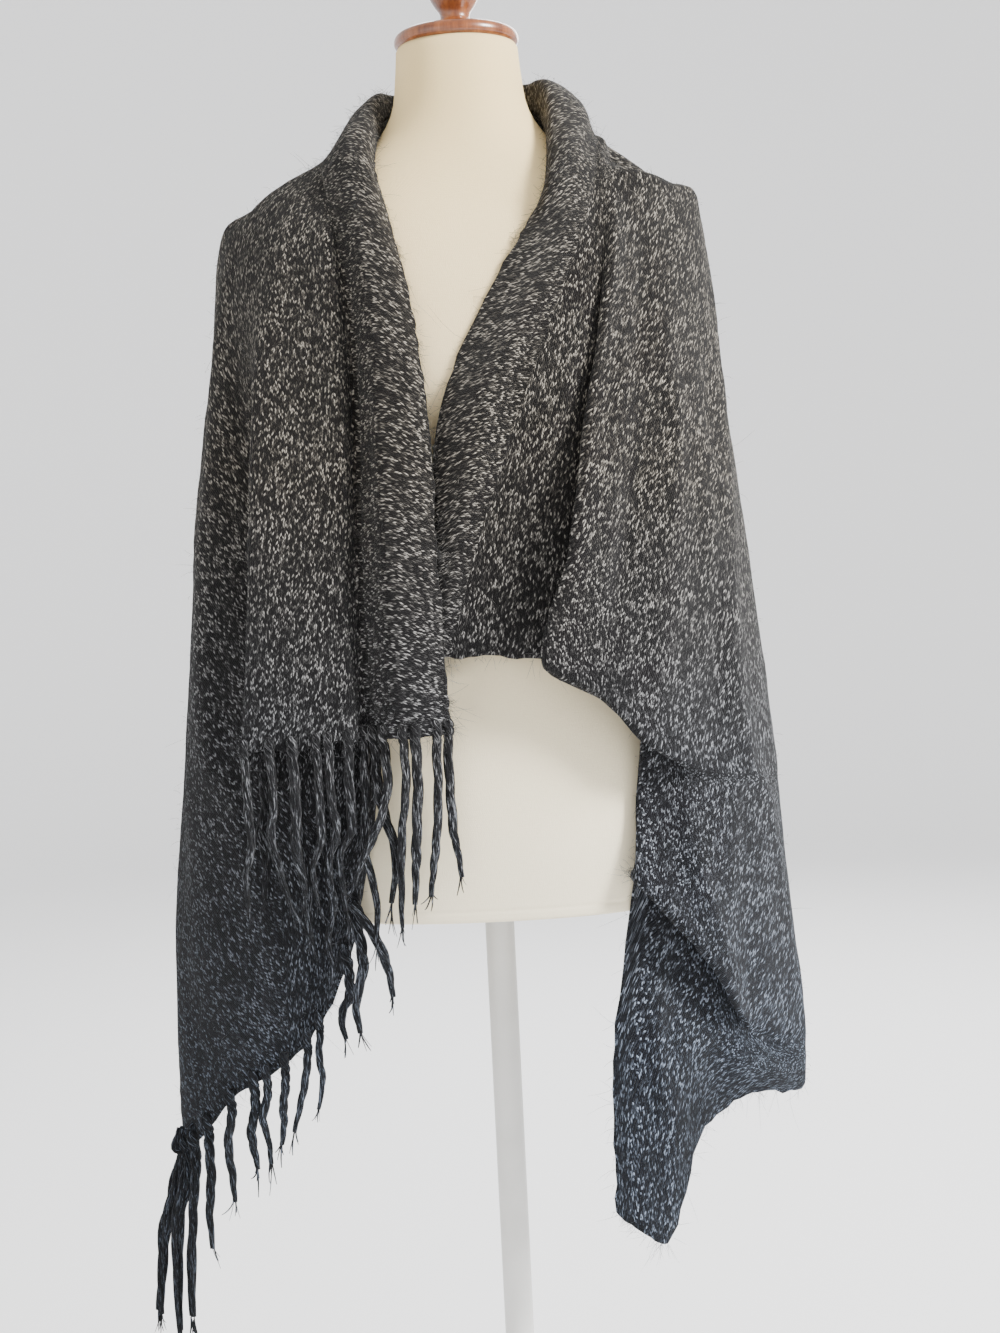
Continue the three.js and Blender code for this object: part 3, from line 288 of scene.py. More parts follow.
CREASES = (
    Crease((("crease", 0.16), ("crease", 0.5), ("crease", 1.0)), -5.5, 8),
    Crease((("top", 0.2), ("top", 0.6), ("rise", 1.0)), 2.6, 11),
    Crease((("welt", 0.12), ("welt", 0.5), ("welt", 0.95)), 3.0, 12),
    Crease((("panel", 0.2), ("welt", 0.62), ("panel", 0.98)), -4.5, 13),
    Crease((("panel", 0.1), ("front fold", 0.45), ("panel", 0.85)), 3.5, 12),
    Crease((("left drop", 0.14), ("left outer", 0.45), ("left drop", 0.8)), 5.0, 15),
    Crease((("left outer", 0.2), ("left side", 0.5), ("left outer", 0.93)), -5.5, 17),
    Crease((("left side", 0.3), ("left back edge", 0.6), ("left side", 0.95)), 4.0, 16),
    Crease((("left drop", 0.45), ("under", 0.75), ("left drop", 0.98)), -4.0, 12),
    Crease((("left back", 0.2), ("left blade", 0.55), ("left back", 0.97)), -6.0, 22),
    Crease((("left blade", 0.22), ("centre back", 0.6), ("left blade", 0.9)), 5.0, 20),
    Crease((("centre back", 0.16), ("right blade", 0.5), ("centre back", 0.99)), -5.5, 21),
    Crease((("right blade", 0.3), ("right back", 0.64), ("right blade", 0.96)), 5.5, 19),
    Crease((("right back", 0.25), ("right back edge", 0.5), ("right back", 0.9)), -5.0, 16),
    Crease((("right side", 0.2), ("right outer", 0.45), ("right side", 0.8)), 5.5, 15),
    Crease((("right outer", 0.17), ("right outer", 0.42), ("right drop", 0.62)), -6.0, 15),
    Crease((("right drop", 0.2), ("right drop", 0.4), ("flap", 0.56)), 6.0, 14),
    Crease((("flap", 0.2), ("flap", 0.38), ("tongue", 0.54)), -5.0, 11),
    Crease((("lip", 0.24), ("lip", 0.42), ("lip", 0.55)), 3.0, 9),
    Crease((("valley", 0.28), ("valley", 0.42), ("valley", 0.56)), -5.0, 14),
    Crease((("right outer", 0.62), ("right outer", 0.75), ("right side", 0.97)), -5.5, 14),
    Crease((("flap", 0.64), ("right drop", 0.72), ("right outer", 0.8)), 4.5, 12),
    Crease((("valley", 0.835), ("flap", 0.835), ("right outer", 0.845)), -8.0, 9),
    Crease((("valley", 0.76), ("flap", 0.76), ("right outer", 0.77)), 4.5, 8),
    Crease((("lip", 0.57), ("flap", 0.565), ("right outer", 0.57)), 4.0, 8),
    Crease((("tongue", 0.86), ("flap", 0.93), ("right drop", 0.99)), 4.0, 11),
)


def spline(points: np.ndarray, stops: np.ndarray) -> np.ndarray:
    """A centripetal curve through points.

    Args:
        points: the points, (count, ..., 3); every further axis is one more curve.
        stops: where to take the curve, 0 at the first point and count - 1 at the last.

    Returns:
        The curve's points, (stops, ..., 3).
    """
    points = np.asarray(points, float)
    stops = np.asarray(stops, float)
    padded = np.concatenate([2 * points[:1] - points[1:2], points, 2 * points[-1:] - points[-2:-1]])
    index = np.minimum(stops.astype(int), len(points) - 2)
    t = (stops - index).reshape(-1, *[1] * (points.ndim - 1))
    p0, p1, p2, p3 = (padded[index + k] for k in range(4))
    pairs = ((p0, p1), (p1, p2), (p2, p3))
    spans = (np.sqrt(np.linalg.norm(b - a, axis=-1, keepdims=True)) for a, b in pairs)
    d0, d1, d2 = (span.clip(SHORTEST_SPAN) for span in spans)
    start = ((p1 - p0) / d0 - (p2 - p0) / (d0 + d1) + (p2 - p1) / d1) * d1
    end = ((p2 - p1) / d1 - (p3 - p1) / (d1 + d2) + (p3 - p2) / d2) * d1
    return p1 + start * t + (3 * (p2 - p1) - 2 * start - end) * t**2 + (2 * (p1 - p2) + start + end) * t**3


def lengths(points: np.ndarray, axis: int = 0) -> np.ndarray:
    """Length along a row of points up to each one, from zero."""
    steps = np.linalg.norm(np.diff(points, axis=axis), axis=-1)
    return np.concatenate([np.zeros_like(steps.take([0], axis)), np.cumsum(steps, axis)], axis)


def spline_by_length(points: np.ndarray, parts: np.ndarray) -> np.ndarray:
    """Points of a centripetal curve, spaced by its length.

    Args:
        points: the points that it passes through, (count, 3).
        parts: where to take it, from 0 at its start to 1 at its end.

    Returns:
        The curve's points, (parts, 3).
    """
    dense = np.linspace(0, len(points) - 1, CURVE_SAMPLES)
    run = lengths(spline(points, dense))
    return spline(points, np.interp(parts * run[-1], run, dense))


def form_section(high: np.ndarray) -> np.ndarray:
    """The dress form's section at heights above its underside, by cubic easing between its rows.

    Args:
        high: heights in millimetres.

    Returns:
        half width, front depth, back depth and squareness, (..., 4).
    """
    z = np.clip(high, 0, NECK_HEIGHT)
    last = len(SECTIONS) - 1
    i = np.clip(np.searchsorted(SECTIONS[:, 0], z, side="right") - 1, 0, last - 1)
    rows = [SECTIONS[k] for k in (np.maximum(i - 1, 0), i, i + 1, np.minimum(i + 2, last))]
    span = rows[2][..., :1] - rows[1][..., :1]
    t = (z[..., None] - rows[1][..., :1]) / span

    def slope(a: np.ndarray, b: np.ndarray) -> np.ndarray:
        """Change from row a to row b over one span."""
        return (b[..., 1:] - a[..., 1:]) / np.maximum(b[..., :1] - a[..., :1], 1) * span

    start, end = slope(rows[0], rows[2]), slope(rows[1], rows[3])
    rise = rows[2][..., 1:] - rows[1][..., 1:]
    bend, turn = 3 * rise - 2 * start - end, start + end - 2 * rise
    return rows[1][..., 1:] + start * t + bend * t**2 + turn * t**3


def form_excess(points: np.ndarray) -> np.ndarray:
    """How far outside the form's section points are.

    Args:
        points: places in millimetres, (..., 3).

    Returns:
        The distance as a part of the section's size, negative inside it.
    """
    section = form_section(points[..., 2] - FORM_BOTTOM)
    depth = np.where(points[..., 1] < 0, section[..., 1], section[..., 2])
    square = section[..., 3]
    across = np.abs(points[..., 0] / section[..., 0]) ** square
    return (across + np.abs(points[..., 1] / depth) ** square) ** (1 / square) - 1


def clear_of_form(points: np.ndarray, distance: float) -> np.ndarray:
    """Moves points out along the form's slope until they are clear of it.

    Args:
        points: places in millimetres, (..., 3).
        distance: how far from the form they have to be.

    Returns:
        The moved points.
    """
    points = points.copy()
    for _ in range(FORM_PASSES):
        here = form_excess(points)
        probes = [form_excess(points + FORM_PROBE * axis) - here for axis in np.eye(3)]
        slope = np.stack(probes, -1) / FORM_PROBE
        size = np.linalg.norm(slope, axis=-1)
        missing = np.where(points[..., 2] < FORM_BOTTOM - distance, 0, distance - here / size)
        points += slope / size[..., None] * np.clip(missing, 0, FORM_MOVE)[..., None]
    return points


def value_noise(places: np.ndarray, seed: int) -> np.ndarray:
    """Smooth noise.

    Args:
        places: where to take it, (..., 2 or 3), in units of its grain.
        seed: which noise.

    Returns:
        Values from -1 to 1.
    """
    cell = np.floor(places).astype(int)
    part = places - cell
    ease = part * part * (3 - 2 * part)
    table = np.random.default_rng(seed).uniform(-1, 1, NOISE_TABLE)
    total = np.zeros(places.shape[:-1])
    for corner in np.ndindex(*[2] * places.shape[-1]):
        at = cell + np.array(corner)
        weight = np.prod(np.where(np.array(corner) == 1, ease, 1 - ease), axis=-1)
        mixed = np.bitwise_xor.reduce(at * np.array(NOISE_PRIMES)[:places.shape[-1]], axis=-1)
        total += weight * table[mixed % NOISE_TABLE]
    return total


def make_mesh(
    name: str, vertices: np.ndarray, faces: list, uvs: np.ndarray | None = None,
) -> bpy.types.Object:
    """A smooth mesh object.

    Args:
        name: the piece's name.
        vertices: its points in metres, (count, 3).
        faces: the numbers of each face's corners.
        uvs: its grain map in metres, two values for each corner of each face in turn, or none.

    Returns:
        The object, linked to the scene.
    """
    mesh = bpy.data.meshes.new(name)
    mesh.from_pydata(vertices.tolist(), [], faces)
    if uvs is not None:
        layer = mesh.uv_layers.new(name="grain")
        layer.data.foreach_set("uv", uvs.astype(np.float32).ravel())
    mesh.shade_smooth()
    piece = bpy.data.objects.new(name, mesh)
    bpy.context.scene.collection.objects.link(piece)
    return piece


class Graph:
    """The node tree of one material, built a node at a time."""

    def __init__(self, name: str) -> None:
        """Starts a material with its principled shader."""
        self.material = bpy.data.materials.new(name)
        self.material.use_nodes = True
        self.tree = self.material.node_tree
        self.shader = self.tree.nodes["Principled BSDF"]

    def node(self, kind: str, inputs: dict | None = None, **settings) -> bpy.types.Node:
        """Adds a node.

        Args:
            kind: the node's type name.
            inputs: values or sockets by input name or index.
            settings: its properties.

        Returns:
            The node.
        """
        made = self.tree.nodes.new(kind)
        for key, value in settings.items():
            setattr(made, key, value)
        for key, value in (inputs or {}).items():
            self.put(made.inputs[key], value)
        return made

    def put(self, socket: bpy.types.NodeSocket, value: object) -> None:
        """Links a socket to an input, or sets its value.

        Args:
            socket: the input.
            value: a socket of another node, or a value.
        """
        if isinstance(value, bpy.types.NodeSocket):
            self.tree.links.new(value, socket)
        else:
            socket.default_value = value

    def math(self, operation: str, *values: object) -> bpy.types.NodeSocket:
        """A math node's result."""
        return self.node("ShaderNodeMath", dict(enumerate(values)), operation=operation).outputs[0]

    def ramp(self, factor: object, stops: list[tuple[float, tuple]]) -> bpy.types.NodeSocket:
        """A colour ramp.

        Args:
            factor: where on the ramp.
            stops: its stops as (position, colour).

        Returns:
            The ramp's colour.
        """
        made = self.node("ShaderNodeValToRGB", {"Fac": factor})
        elements = made.color_ramp.elements
        while len(elements) < len(stops):
            elements.new(0.5)
        for element, (position, colour) in zip(elements, stops):
            element.position = position
            element.color = (*colour, 1)
        return made.outputs["Color"]

    def mix(self, factor: object, first: object, second: object, blend: str = "MIX") -> bpy.types.NodeSocket:
        """Two colours mixed by a factor."""
        colours = {0: factor, 6: first, 7: second}
        return self.node("ShaderNodeMix", colours, data_type="RGBA", blend_type=blend).outputs[2]

    def noise(
        self, place: object, scale: float, detail: float = 2.0, rough: float = 0.5,
    ) -> bpy.types.NodeSocket:
        """A noise texture's value."""
        values = {"Vector": place, "Scale": scale, "Detail": detail, "Roughness": rough}
        return self.node("ShaderNodeTexNoise", values).outputs[0]

    def bump(
        self, height: object, distance: float, strength: float = 1.0, below: object = None,
    ) -> bpy.types.NodeSocket:
        """A bump.

        Args:
            height: the relief, from 0 to 1.
            distance: how high it stands, in metres.
            strength: how much of it shows.
            below: the normal of another bump that lies under it, or none.

        Returns:
            The bump's normal.
        """
        made = self.node("ShaderNodeBump", {"Height": height, "Distance": distance, "Strength": strength})
        if below is not None:
            self.put(made.inputs["Normal"], below)
        return made.outputs["Normal"]

    def place(self) -> bpy.types.NodeSocket:
        """The object's own coordinates, in metres."""
        return self.node("ShaderNodeTexCoord").outputs["Object"]

    def finish(
        self, colour: object, roughness: object, normal: object, **values: float,
    ) -> bpy.types.Material:
        """Sets the shader's sockets.

        Args:
            colour: its base colour.
            roughness: its roughness.
            normal: its normal.
            values: other inputs by name, with _ for a space.

        Returns:
            The material.
        """
        self.put(self.shader.inputs["Base Color"], colour)
        self.put(self.shader.inputs["Roughness"], roughness)
        self.put(self.shader.inputs["Normal"], normal)
        for name, value in values.items():
            self.put(self.shader.inputs[name.replace("_", " ")], value)
        return self.material


class Yarn(Enum):
    """How the marled yarn lies."""

    STOCKING = "stitches in wales"
    TWISTED = "strands of the fringe"
    LOOSE = "single fibres"


@dataclass(frozen=True)
class MarledKnit:
    """The charcoal yarn with light flecks, browner at the shoulders and bluer at the hems, with painted shade
    in the hollows between stitches and over the lower left end.
    """

    yarn: Yarn
    wale: float = 0.0030
    course: float = 0.0026
    slant: float = 0.8
    dark_high: tuple = (0.0088, 0.0068, 0.0054)
    dark_low: tuple = (0.0050, 0.0068, 0.0125)
    light_high: tuple = (0.37, 0.335, 0.28)
    light_low: tuple = (0.25, 0.30, 0.39)
    low: float = 0.72
    high: float = 1.22
    drift: float = 0.16
    wander: float = 0.0022
    chance_share: float = 0.62
    streak_share: float = 0.55
    patch_share: float = 0.22

    def gradient(self, graph: Graph, low: tuple, high: tuple) -> bpy.types.NodeSocket:
        """A colour that runs from the lowest hem to the shoulders.

        Args:
            graph: the material.
            low: the colour at the lowest hem.
            high: the colour at the shoulders.

        Returns:
            The colour's socket.
        """
        axes = graph.node("ShaderNodeSeparateXYZ", {0: graph.place()})
        drift = graph.math("MULTIPLY", graph.noise(graph.place(), 5.0), self.drift)
        level = graph.math("ADD", axes.outputs["Z"], drift)
        span = graph.node("ShaderNodeMapRange", {"Value": level, "From Min": self.low, "From Max": self.high})
        return graph.mix(span.outputs[0], (*low, 1), (*high, 1))

    @staticmethod
    def painted_left_shade(graph: Graph) -> bpy.types.NodeSocket:
        """A grey of painted shade that darkens the lower part of the fringed end.

        Args:
            graph: the material.

        Returns:
            The grey's socket.
        """
        axes = graph.node("ShaderNodeSeparateXYZ", {0: graph.place()})
        aside = {"Value": axes.outputs["X"], "From Min": -0.05, "From Max": -0.24, "To Max": 0.55}
        below = {"Value": axes.outputs["Z"], "From Min": 1.1, "From Max": 0.75}
        both = (graph.node("ShaderNodeMapRange", values).outputs[0] for values in (aside, below))
        return graph.math("SUBTRACT", 1.0, graph.math("MULTIPLY", *both))

    def make(self) -> bpy.types.Material:
        """Builds the finish.

        Returns:
            The material.
        """
        graph = Graph(f"marled_{self.yarn.name.lower()}")
        dark = self.gradient(graph, self.dark_low, self.dark_high)
        light = self.gradient(graph, self.light_low, self.light_high)
        if self.yarn is Yarn.LOOSE:
            fleck = graph.math("GREATER_THAN", graph.noise(graph.place(), 240.0), 0.56)
            colour = graph.mix(graph.math("MULTIPLY", fleck, 0.5), dark, light)
            return graph.finish(colour, 0.8, (0, 0, 0), Sheen_Weight=0.2)
        grain = graph.node("ShaderNodeUVMap", uv_map="grain").outputs[0]
        wobble = graph.node("ShaderNodeTexNoise", {"Vector": grain, "Scale": 90.0, "Detail": 1.0})
        moved = graph.node("ShaderNodeVectorMath", {0: wobble.outputs["Color"], 1: (-0.5, -0.5, -0.5)})
        shift = {0: moved.outputs[0], "Scale": self.wander}
        scaled = graph.node("ShaderNodeVectorMath", shift, operation="SCALE")
        place = graph.node("ShaderNodeVectorMath", {0: grain, 1: scaled.outputs[0]}).outputs[0]
        axes = graph.node("ShaderNodeSeparateXYZ", {0: place})
        wale = graph.math("DIVIDE", axes.outputs["X"], self.wale)
        part = graph.math("SUBTRACT", graph.math("FRACT", wale), 0.5)
        side = graph.math("GREATER_THAN", part, 0.0)
        beside = graph.math("MULTIPLY", graph.math("ABSOLUTE", part), 2.0)
        down = graph.math("DIVIDE", axes.outputs["Y"], self.course)
        course = graph.math("ADD", down, graph.math("MULTIPLY", beside, self.slant))
        leg = graph.math("SINE", graph.math("MULTIPLY", beside, math.pi))
        stitch = graph.math("SINE", graph.math("MULTIPLY", graph.math("FRACT", course), math.pi))
        height = graph.math("MULTIPLY", graph.math("POWER", leg, 0.7), graph.math("POWER", stitch, 0.5))
        column = graph.math("ADD", graph.math("MULTIPLY", graph.math("FLOOR", wale), 2.0), side)
        cell = graph.node("ShaderNodeCombineXYZ", {0: column, 1: graph.math("FLOOR", course), 2: 0.5})
        chance = graph.node("ShaderNodeTexWhiteNoise", {"Vector": cell.outputs[0]}).outputs["Value"]
        stretch = graph.node("ShaderNodeVectorMath", {0: place, 1: (1.0, 0.62, 1.0)}, operation="MULTIPLY")
        streak = graph.noise(stretch.outputs[0], 520.0, 2.0, 0.6)
        patch = graph.noise(place, 38.0, 2.0)
        by_stitch = graph.math("MULTIPLY", chance, self.chance_share)
        amount = graph.math("ADD", by_stitch, graph.math("MULTIPLY", streak, self.streak_share))
        amount = graph.math("ADD", amount, graph.math("MULTIPLY", patch, self.patch_share))
        steps = ((0.63, 0), (0.78, 0.09), (0.89, 0.28), (0.98, 1))
        fleck = graph.ramp(amount, [(position, (grey,) * 3) for position, grey in steps])
        yarn = graph.mix(fleck, dark, light)
        # Painted shade: the yarn's colour darkens where the stitch relief is low, in the hollows between
        # stitches
        stitch_hollow_shade = graph.ramp(height, [(0.15, (0.16,) * 3), (0.75, (1, 1, 1))])
        colour = graph.mix(1.0, yarn, stitch_hollow_shade, "MULTIPLY")
        # Painted shade over the lower left end of the cloth and its fringe
        colour = graph.mix(1.0, colour, self.painted_left_shade(graph), "MULTIPLY")
        soft = graph.bump(streak, 0.0012, 0.6)
        normal = graph.bump(height, 0.0016, 0.9, soft)
        return graph.finish(
            colour, 0.92, normal, Sheen_Weight=0.05, Sheen_Roughness=0.5, Specular_IOR_Level=0.15,
        )


@dataclass(frozen=True)
class Linen:
    """Cream linen drawn tight over the form, finely woven, with a painted warm tint of light towards the
    neck.
    """

    pitch: float = 0.0011
    low: float = 0.80
    high: float = 1.42
    hips: tuple = (0.91, 0.82, 0.61)
    neck_painted_warm_light: tuple = (0.93, 0.71, 0.35)

    def make(self) -> bpy.types.Material:
        """Builds the finish.

        Returns:
            The material.
        """
        graph = Graph("linen_cream")
        grain = graph.node("ShaderNodeUVMap", uv_map="grain").outputs[0]
        axes = graph.node("ShaderNodeSeparateXYZ", {0: grain})
        turn = 2 * math.pi / self.pitch
        warp = graph.math("SINE", graph.math("MULTIPLY", axes.outputs["X"], turn))
        weft = graph.math("SINE", graph.math("MULTIPLY", axes.outputs["Y"], turn))
        weave = graph.math("MULTIPLY", warp, weft)
        slub = graph.node("ShaderNodeVectorMath", {0: grain, 1: (1.0, 9.0, 1.0)}, operation="MULTIPLY")
        across = graph.node("ShaderNodeVectorMath", {0: grain, 1: (9.0, 1.0, 1.0)}, operation="MULTIPLY")
        threads = graph.math("ADD", *(graph.noise(run.outputs[0], 160.0, 3.0) for run in (slub, across)))
        cloud = graph.noise(graph.place(), 9.0, 4.0)
        height = graph.node("ShaderNodeSeparateXYZ", {0: graph.place()}).outputs["Z"]
        span = {"Value": height, "From Min": self.low, "From Max": self.high}
        level = graph.node("ShaderNodeMapRange", span).outputs[0]
        # The cover's own ivory at the hips, turning towards the neck to a darker, yellower cream that is
        # painted warm light
        base = graph.mix(level, (*self.hips, 1), (*self.neck_painted_warm_light, 1))
        tone = graph.math("ADD", graph.math("MULTIPLY", threads, 0.14), graph.math("MULTIPLY", cloud, 0.12))
        shade = graph.ramp(tone, [(0.06, (0.86, 0.84, 0.80)), (0.30, (1, 1, 1))])
        colour = graph.mix(1.0, base, shade, "MULTIPLY")
        normal = graph.bump(graph.math("ADD", graph.math("MULTIPLY", weave, 0.5), threads), 0.00035, 0.6)
        return graph.finish(colour, 0.85, normal, Sheen_Weight=0.08)


@dataclass(frozen=True)
class VarnishedWood:
    """Orange brown turned wood under a clear varnish."""

    dark: tuple = (0.085, 0.020, 0.005)
    middle: tuple = (0.20, 0.055, 0.012)
    light: tuple = (0.33, 0.11, 0.025)

    def make(self) -> bpy.types.Material:
        """Builds the finish.

        Returns:
            The material.
        """
        graph = Graph("wood_varnished")
        squeeze = {0: graph.place(), 1: (1.0, 1.0, 0.12)}
        long = graph.node("ShaderNodeVectorMath", squeeze, operation="MULTIPLY")
        rings = graph.noise(long.outputs[0], 90.0, 5.0, 0.6)
        pores = graph.noise(long.outputs[0], 600.0, 2.0)
        grain = graph.math("ADD", graph.math("MULTIPLY", rings, 0.8), graph.math("MULTIPLY", pores, 0.2))
        colour = graph.ramp(grain, [(0.34, self.dark), (0.5, self.middle), (0.68, self.light)])
        rough = graph.math("ADD", 0.24, graph.math("MULTIPLY", graph.noise(graph.place(), 40.0), 0.16))
        normal = graph.bump(grain, 0.0004, 0.35)
        return graph.finish(colour, rough, normal, Coat_Weight=0.5, Coat_Roughness=0.15)


@dataclass(frozen=True)
class SatinPaint:
    """Off-white paint on steel, slightly uneven."""

    dull: tuple = (0.60, 0.59, 0.56)
    clean: tuple = (0.68, 0.67, 0.64)

    def make(self) -> bpy.types.Material:
        """Builds the finish.

        Returns:
            The material.
        """
        graph = Graph("paint_satin")
        wear = graph.noise(graph.place(), 14.0, 5.0)
        colour = graph.ramp(wear, [(0.3, self.dull), (0.6, self.clean)])
        rough = graph.math("ADD", 0.34, graph.math("MULTIPLY", wear, 0.2))
        return graph.finish(colour, rough, graph.bump(graph.noise(graph.place(), 380.0), 0.0002, 0.4))


@dataclass
class WrapSurface:
    """The wrap's middle surface, as one grid of points for its body, one for its right front and one for
    its collar, with shared points where they meet."""

    points: np.ndarray = field(init=False)
    cells: np.ndarray = field(init=False)
    grain: np.ndarray = field(init=False)
    main_ids: np.ndarray = field(init=False)
    lines: list = field(init=False)

    def __post_init__(self) -> None:
        """Works out the grids."""
        bands = {line: BAND[:, k] for k, line in enumerate(BAND_LINES)}
        stops = np.concatenate([k + np.arange(rows * FINE) / (rows * FINE) for k, rows in enumerate(ROWS)])
        stops = np.append(stops, len(ROWS))
        front_rows = sum(ROWS[:len(FRONT_COLUMNS) - 1]) * FINE
        front_stops = stops[:front_rows + 1]

        def fold_points(fold: dict, columns: tuple, heights: dict) -> np.ndarray:
            """A fold's points, from the collar's crease down.

            Args:
                fold: the fold.
                columns: the names of its points, in order.
                heights: the height of a column, for points that give none.

            Returns:
                The points, (count, 3).
            """
            start = spline(bands["crease"], np.array([fold["ring"]]))[0]
            named = [(*fold[c], heights.get(c))[:3] for c in columns if c in fold]
            return np.array([tuple(start), *named], float)

        right = [spline(fold_points(f, RIGHT_COLUMNS[1:], RIGHT_HEIGHT), stops) for f in RIGHT_FOLDS]
        run = lengths(right[0])
        parts = run / run[-1]
        left_rows = np.arange(THROAT_LEFT, -1, -1)
        left_band = [spline_by_length(bands[line][left_rows], parts) for line in BAND_LINES]
        left = [spline_by_length(fold_points(f, tuple(LEFT_HEIGHT), LEFT_HEIGHT), parts) for f in LEFT_FOLDS]
        names = [*BAND_LINES, *(f["fold"] for f in (*LEFT_FOLDS, *RIGHT_FOLDS))]
        counts = [BAND_CELLS] * len(BAND_LINES) + [f["cells"] for f in (*LEFT_FOLDS, *RIGHT_FOLDS)]
        self.lines = list(zip(names, counts))
        main = self.across([*left_band, *left, *right], counts)

        front = [spline(fold_points(f, FRONT_COLUMNS[1:], RIGHT_HEIGHT), front_stops) for f in FRONT_FOLDS]
        reverse = BAND_LINES[::-1]
        right_band = [spline(spline(bands[line], np.array(RIGHT_BAND_AT)), front_stops) for line in reverse]
        front_cells = [f["cells"] for f in (RIGHT_FOLDS[-1], *FRONT_FOLDS)]
        front_counts = [*front_cells, *[BAND_CELLS] * len(BAND_LINES)]
        front_grid = self.across([right[-1][:front_rows + 1], *front, *right_band], front_counts)
        self.join(main, front_grid, sum(front_cells) * FINE, bands)

    @staticmethod
    def across(folds: list[np.ndarray], counts: list[int]) -> np.ndarray:
        """Curves across folds that have the same rows.

        Args:
            folds: the folds' points, each (rows, 3).
            counts: the cells of the part's grid between a fold and the next.

        Returns:
            A grid, (rows, columns, 3), kept clear of the form.
        """
        gaps = enumerate(counts[:len(folds) - 1])
        stops = [k + np.arange(count * FINE) / (count * FINE) for k, count in gaps]
        grid = spline(np.stack(folds), np.append(np.concatenate(stops), len(folds) - 1))
        return clear_of_form(grid.swapaxes(0, 1), FORM_CLEAR)

    def column(self, name: str) -> int:
        """The fine column of the body's grid where a fold lies."""
        index = [line for line, _ in self.lines].index(name)
        return sum(count for _, count in self.lines[:index]) * FINE

    def join(self, main: np.ndarray, front: np.ndarray, crease: int, bands: dict) -> None:
        """Numbers the points of the three grids and lists their cells.

        Args:
            main: the body's grid, from the left band's edge to the valley of the right drop.
            front: the right front's grid, from that valley to the right band's edge.
            crease: the column of the right front where its band starts.
            bands: the band's lines.
        """
        side = BAND_CELLS * FINE * (len(BAND_LINES) - 1)
        rows, columns = main.shape[:2]
        self.main_ids = np.arange(rows * columns).reshape(rows, columns)
        front_ids = rows * columns + np.arange(front[:, :, 0].size).reshape(front.shape[:2])
        front_ids[:, 0] = self.main_ids[:len(front), -1]
        ring = np.concatenate([self.main_ids[0, side:], front_ids[0, 1:crease + 1]])
        rings = [THROAT_LEFT, *(f["ring"] for f in (*LEFT_FOLDS, *RIGHT_FOLDS, *FRONT_FOLDS)), THROAT_RIGHT]
        counts = [BAND_CELLS, *(f["cells"] for f in (*LEFT_FOLDS, *RIGHT_FOLDS, *FRONT_FOLDS))]
        at = [a + (b - a) * np.arange(n * FINE) / (n * FINE) for a, b, n in zip(rings, rings[1:], counts)]
        at = np.append(np.concatenate(at), THROAT_RIGHT)
        sections = np.stack([spline(bands[line], at) for line in BAND_LINES[::-1]])
        outward = sections[0] * (1, 1, 0)
        outward = outward / np.linalg.norm(outward, axis=-1, keepdims=True) * COLLAR_OUT
        outward = sections[0] + outward - (0, 0, COLLAR_DOWN)
        stops = 1 + np.arange(side + 1) / (BAND_CELLS * FINE)
        collar = spline(np.concatenate([outward[None], sections]), stops)
        collar = clear_of_form(collar.swapaxes(0, 1), FORM_CLEAR)
        first = front_ids.max() + 1
        collar_ids = first + np.arange(collar[:, :, 0].size).reshape(collar.shape[:2])
        every = np.concatenate([main.reshape(-1, 3), front.reshape(-1, 3), collar.reshape(-1, 3)])
        self.ease_collar(collar, every, (ring, self.main_ids[0, :side + 1][::-1], front_ids[0, crease:]))
        every[first:] = collar.reshape(-1, 3)
        collar_ids[:, 0] = ring
        collar_ids[0] = self.main_ids[0, :side + 1][::-1]
        collar_ids[-1] = front_ids[0, crease:]
        blocks, grains = [], []
        drop = (self.column("left drop"), self.column("left side"))
        right_drop = self.column("right side")
        for ids, lean in (
            (self.main_ids[:, :side + 1], BAND_LEAN), (self.main_ids[:, side:drop[0] + 1], 0),
            (self.main_ids[:, drop[0]:drop[1] + 1], LEFT_LEAN), (self.main_ids[:, drop[1]:right_drop + 1], 0),
            (self.main_ids[:, right_drop:], RIGHT_LEAN), (front_ids[:, :crease + 1], 0),
            (front_ids[:, crease:], BAND_LEAN), (collar_ids, BAND_LEAN),
        ):
            block, grain = self.block(every, ids, math.radians(lean))
            blocks.append(block)
            grains.append(grain)
        cells, uvs = np.concatenate(blocks), np.concatenate(grains)
        used, numbers = np.unique(cells, return_inverse=True)
        self.points = every[used]
        self.cells = numbers.reshape(cells.shape)
        self.grain = uvs
        lookup = np.full(len(every), -1)
        lookup[used] = np.arange(len(used))
        self.main_ids = lookup[self.main_ids]

    @staticmethod
    def ease_collar(collar: np.ndarray, every: np.ndarray, edges: tuple) -> None:
        """Draws the collar's grid to the edges that it shares, fading over a few cells.

        Args:
            collar: the collar's grid, changed in place.
            every: all points by number.
            edges: the numbers of its crease, first row and last row.
        """
        crease, start, end = (every[ids] for ids in edges)
        fade = 1 - np.arange(FINE + 1) / (FINE + 1)
        side = collar.shape[1]
        across = np.zeros(side)
        across[:FINE + 1] = fade
        collar += across[None, :, None] * (crease - collar[:, 0])[:, None]
        first, last = start - collar[0], end - collar[-1]
        for rows, target in ((slice(0, FINE + 1), first), (slice(-1, -FINE - 2, -1), last)):
            collar[rows] += fade[:, None, None] * target

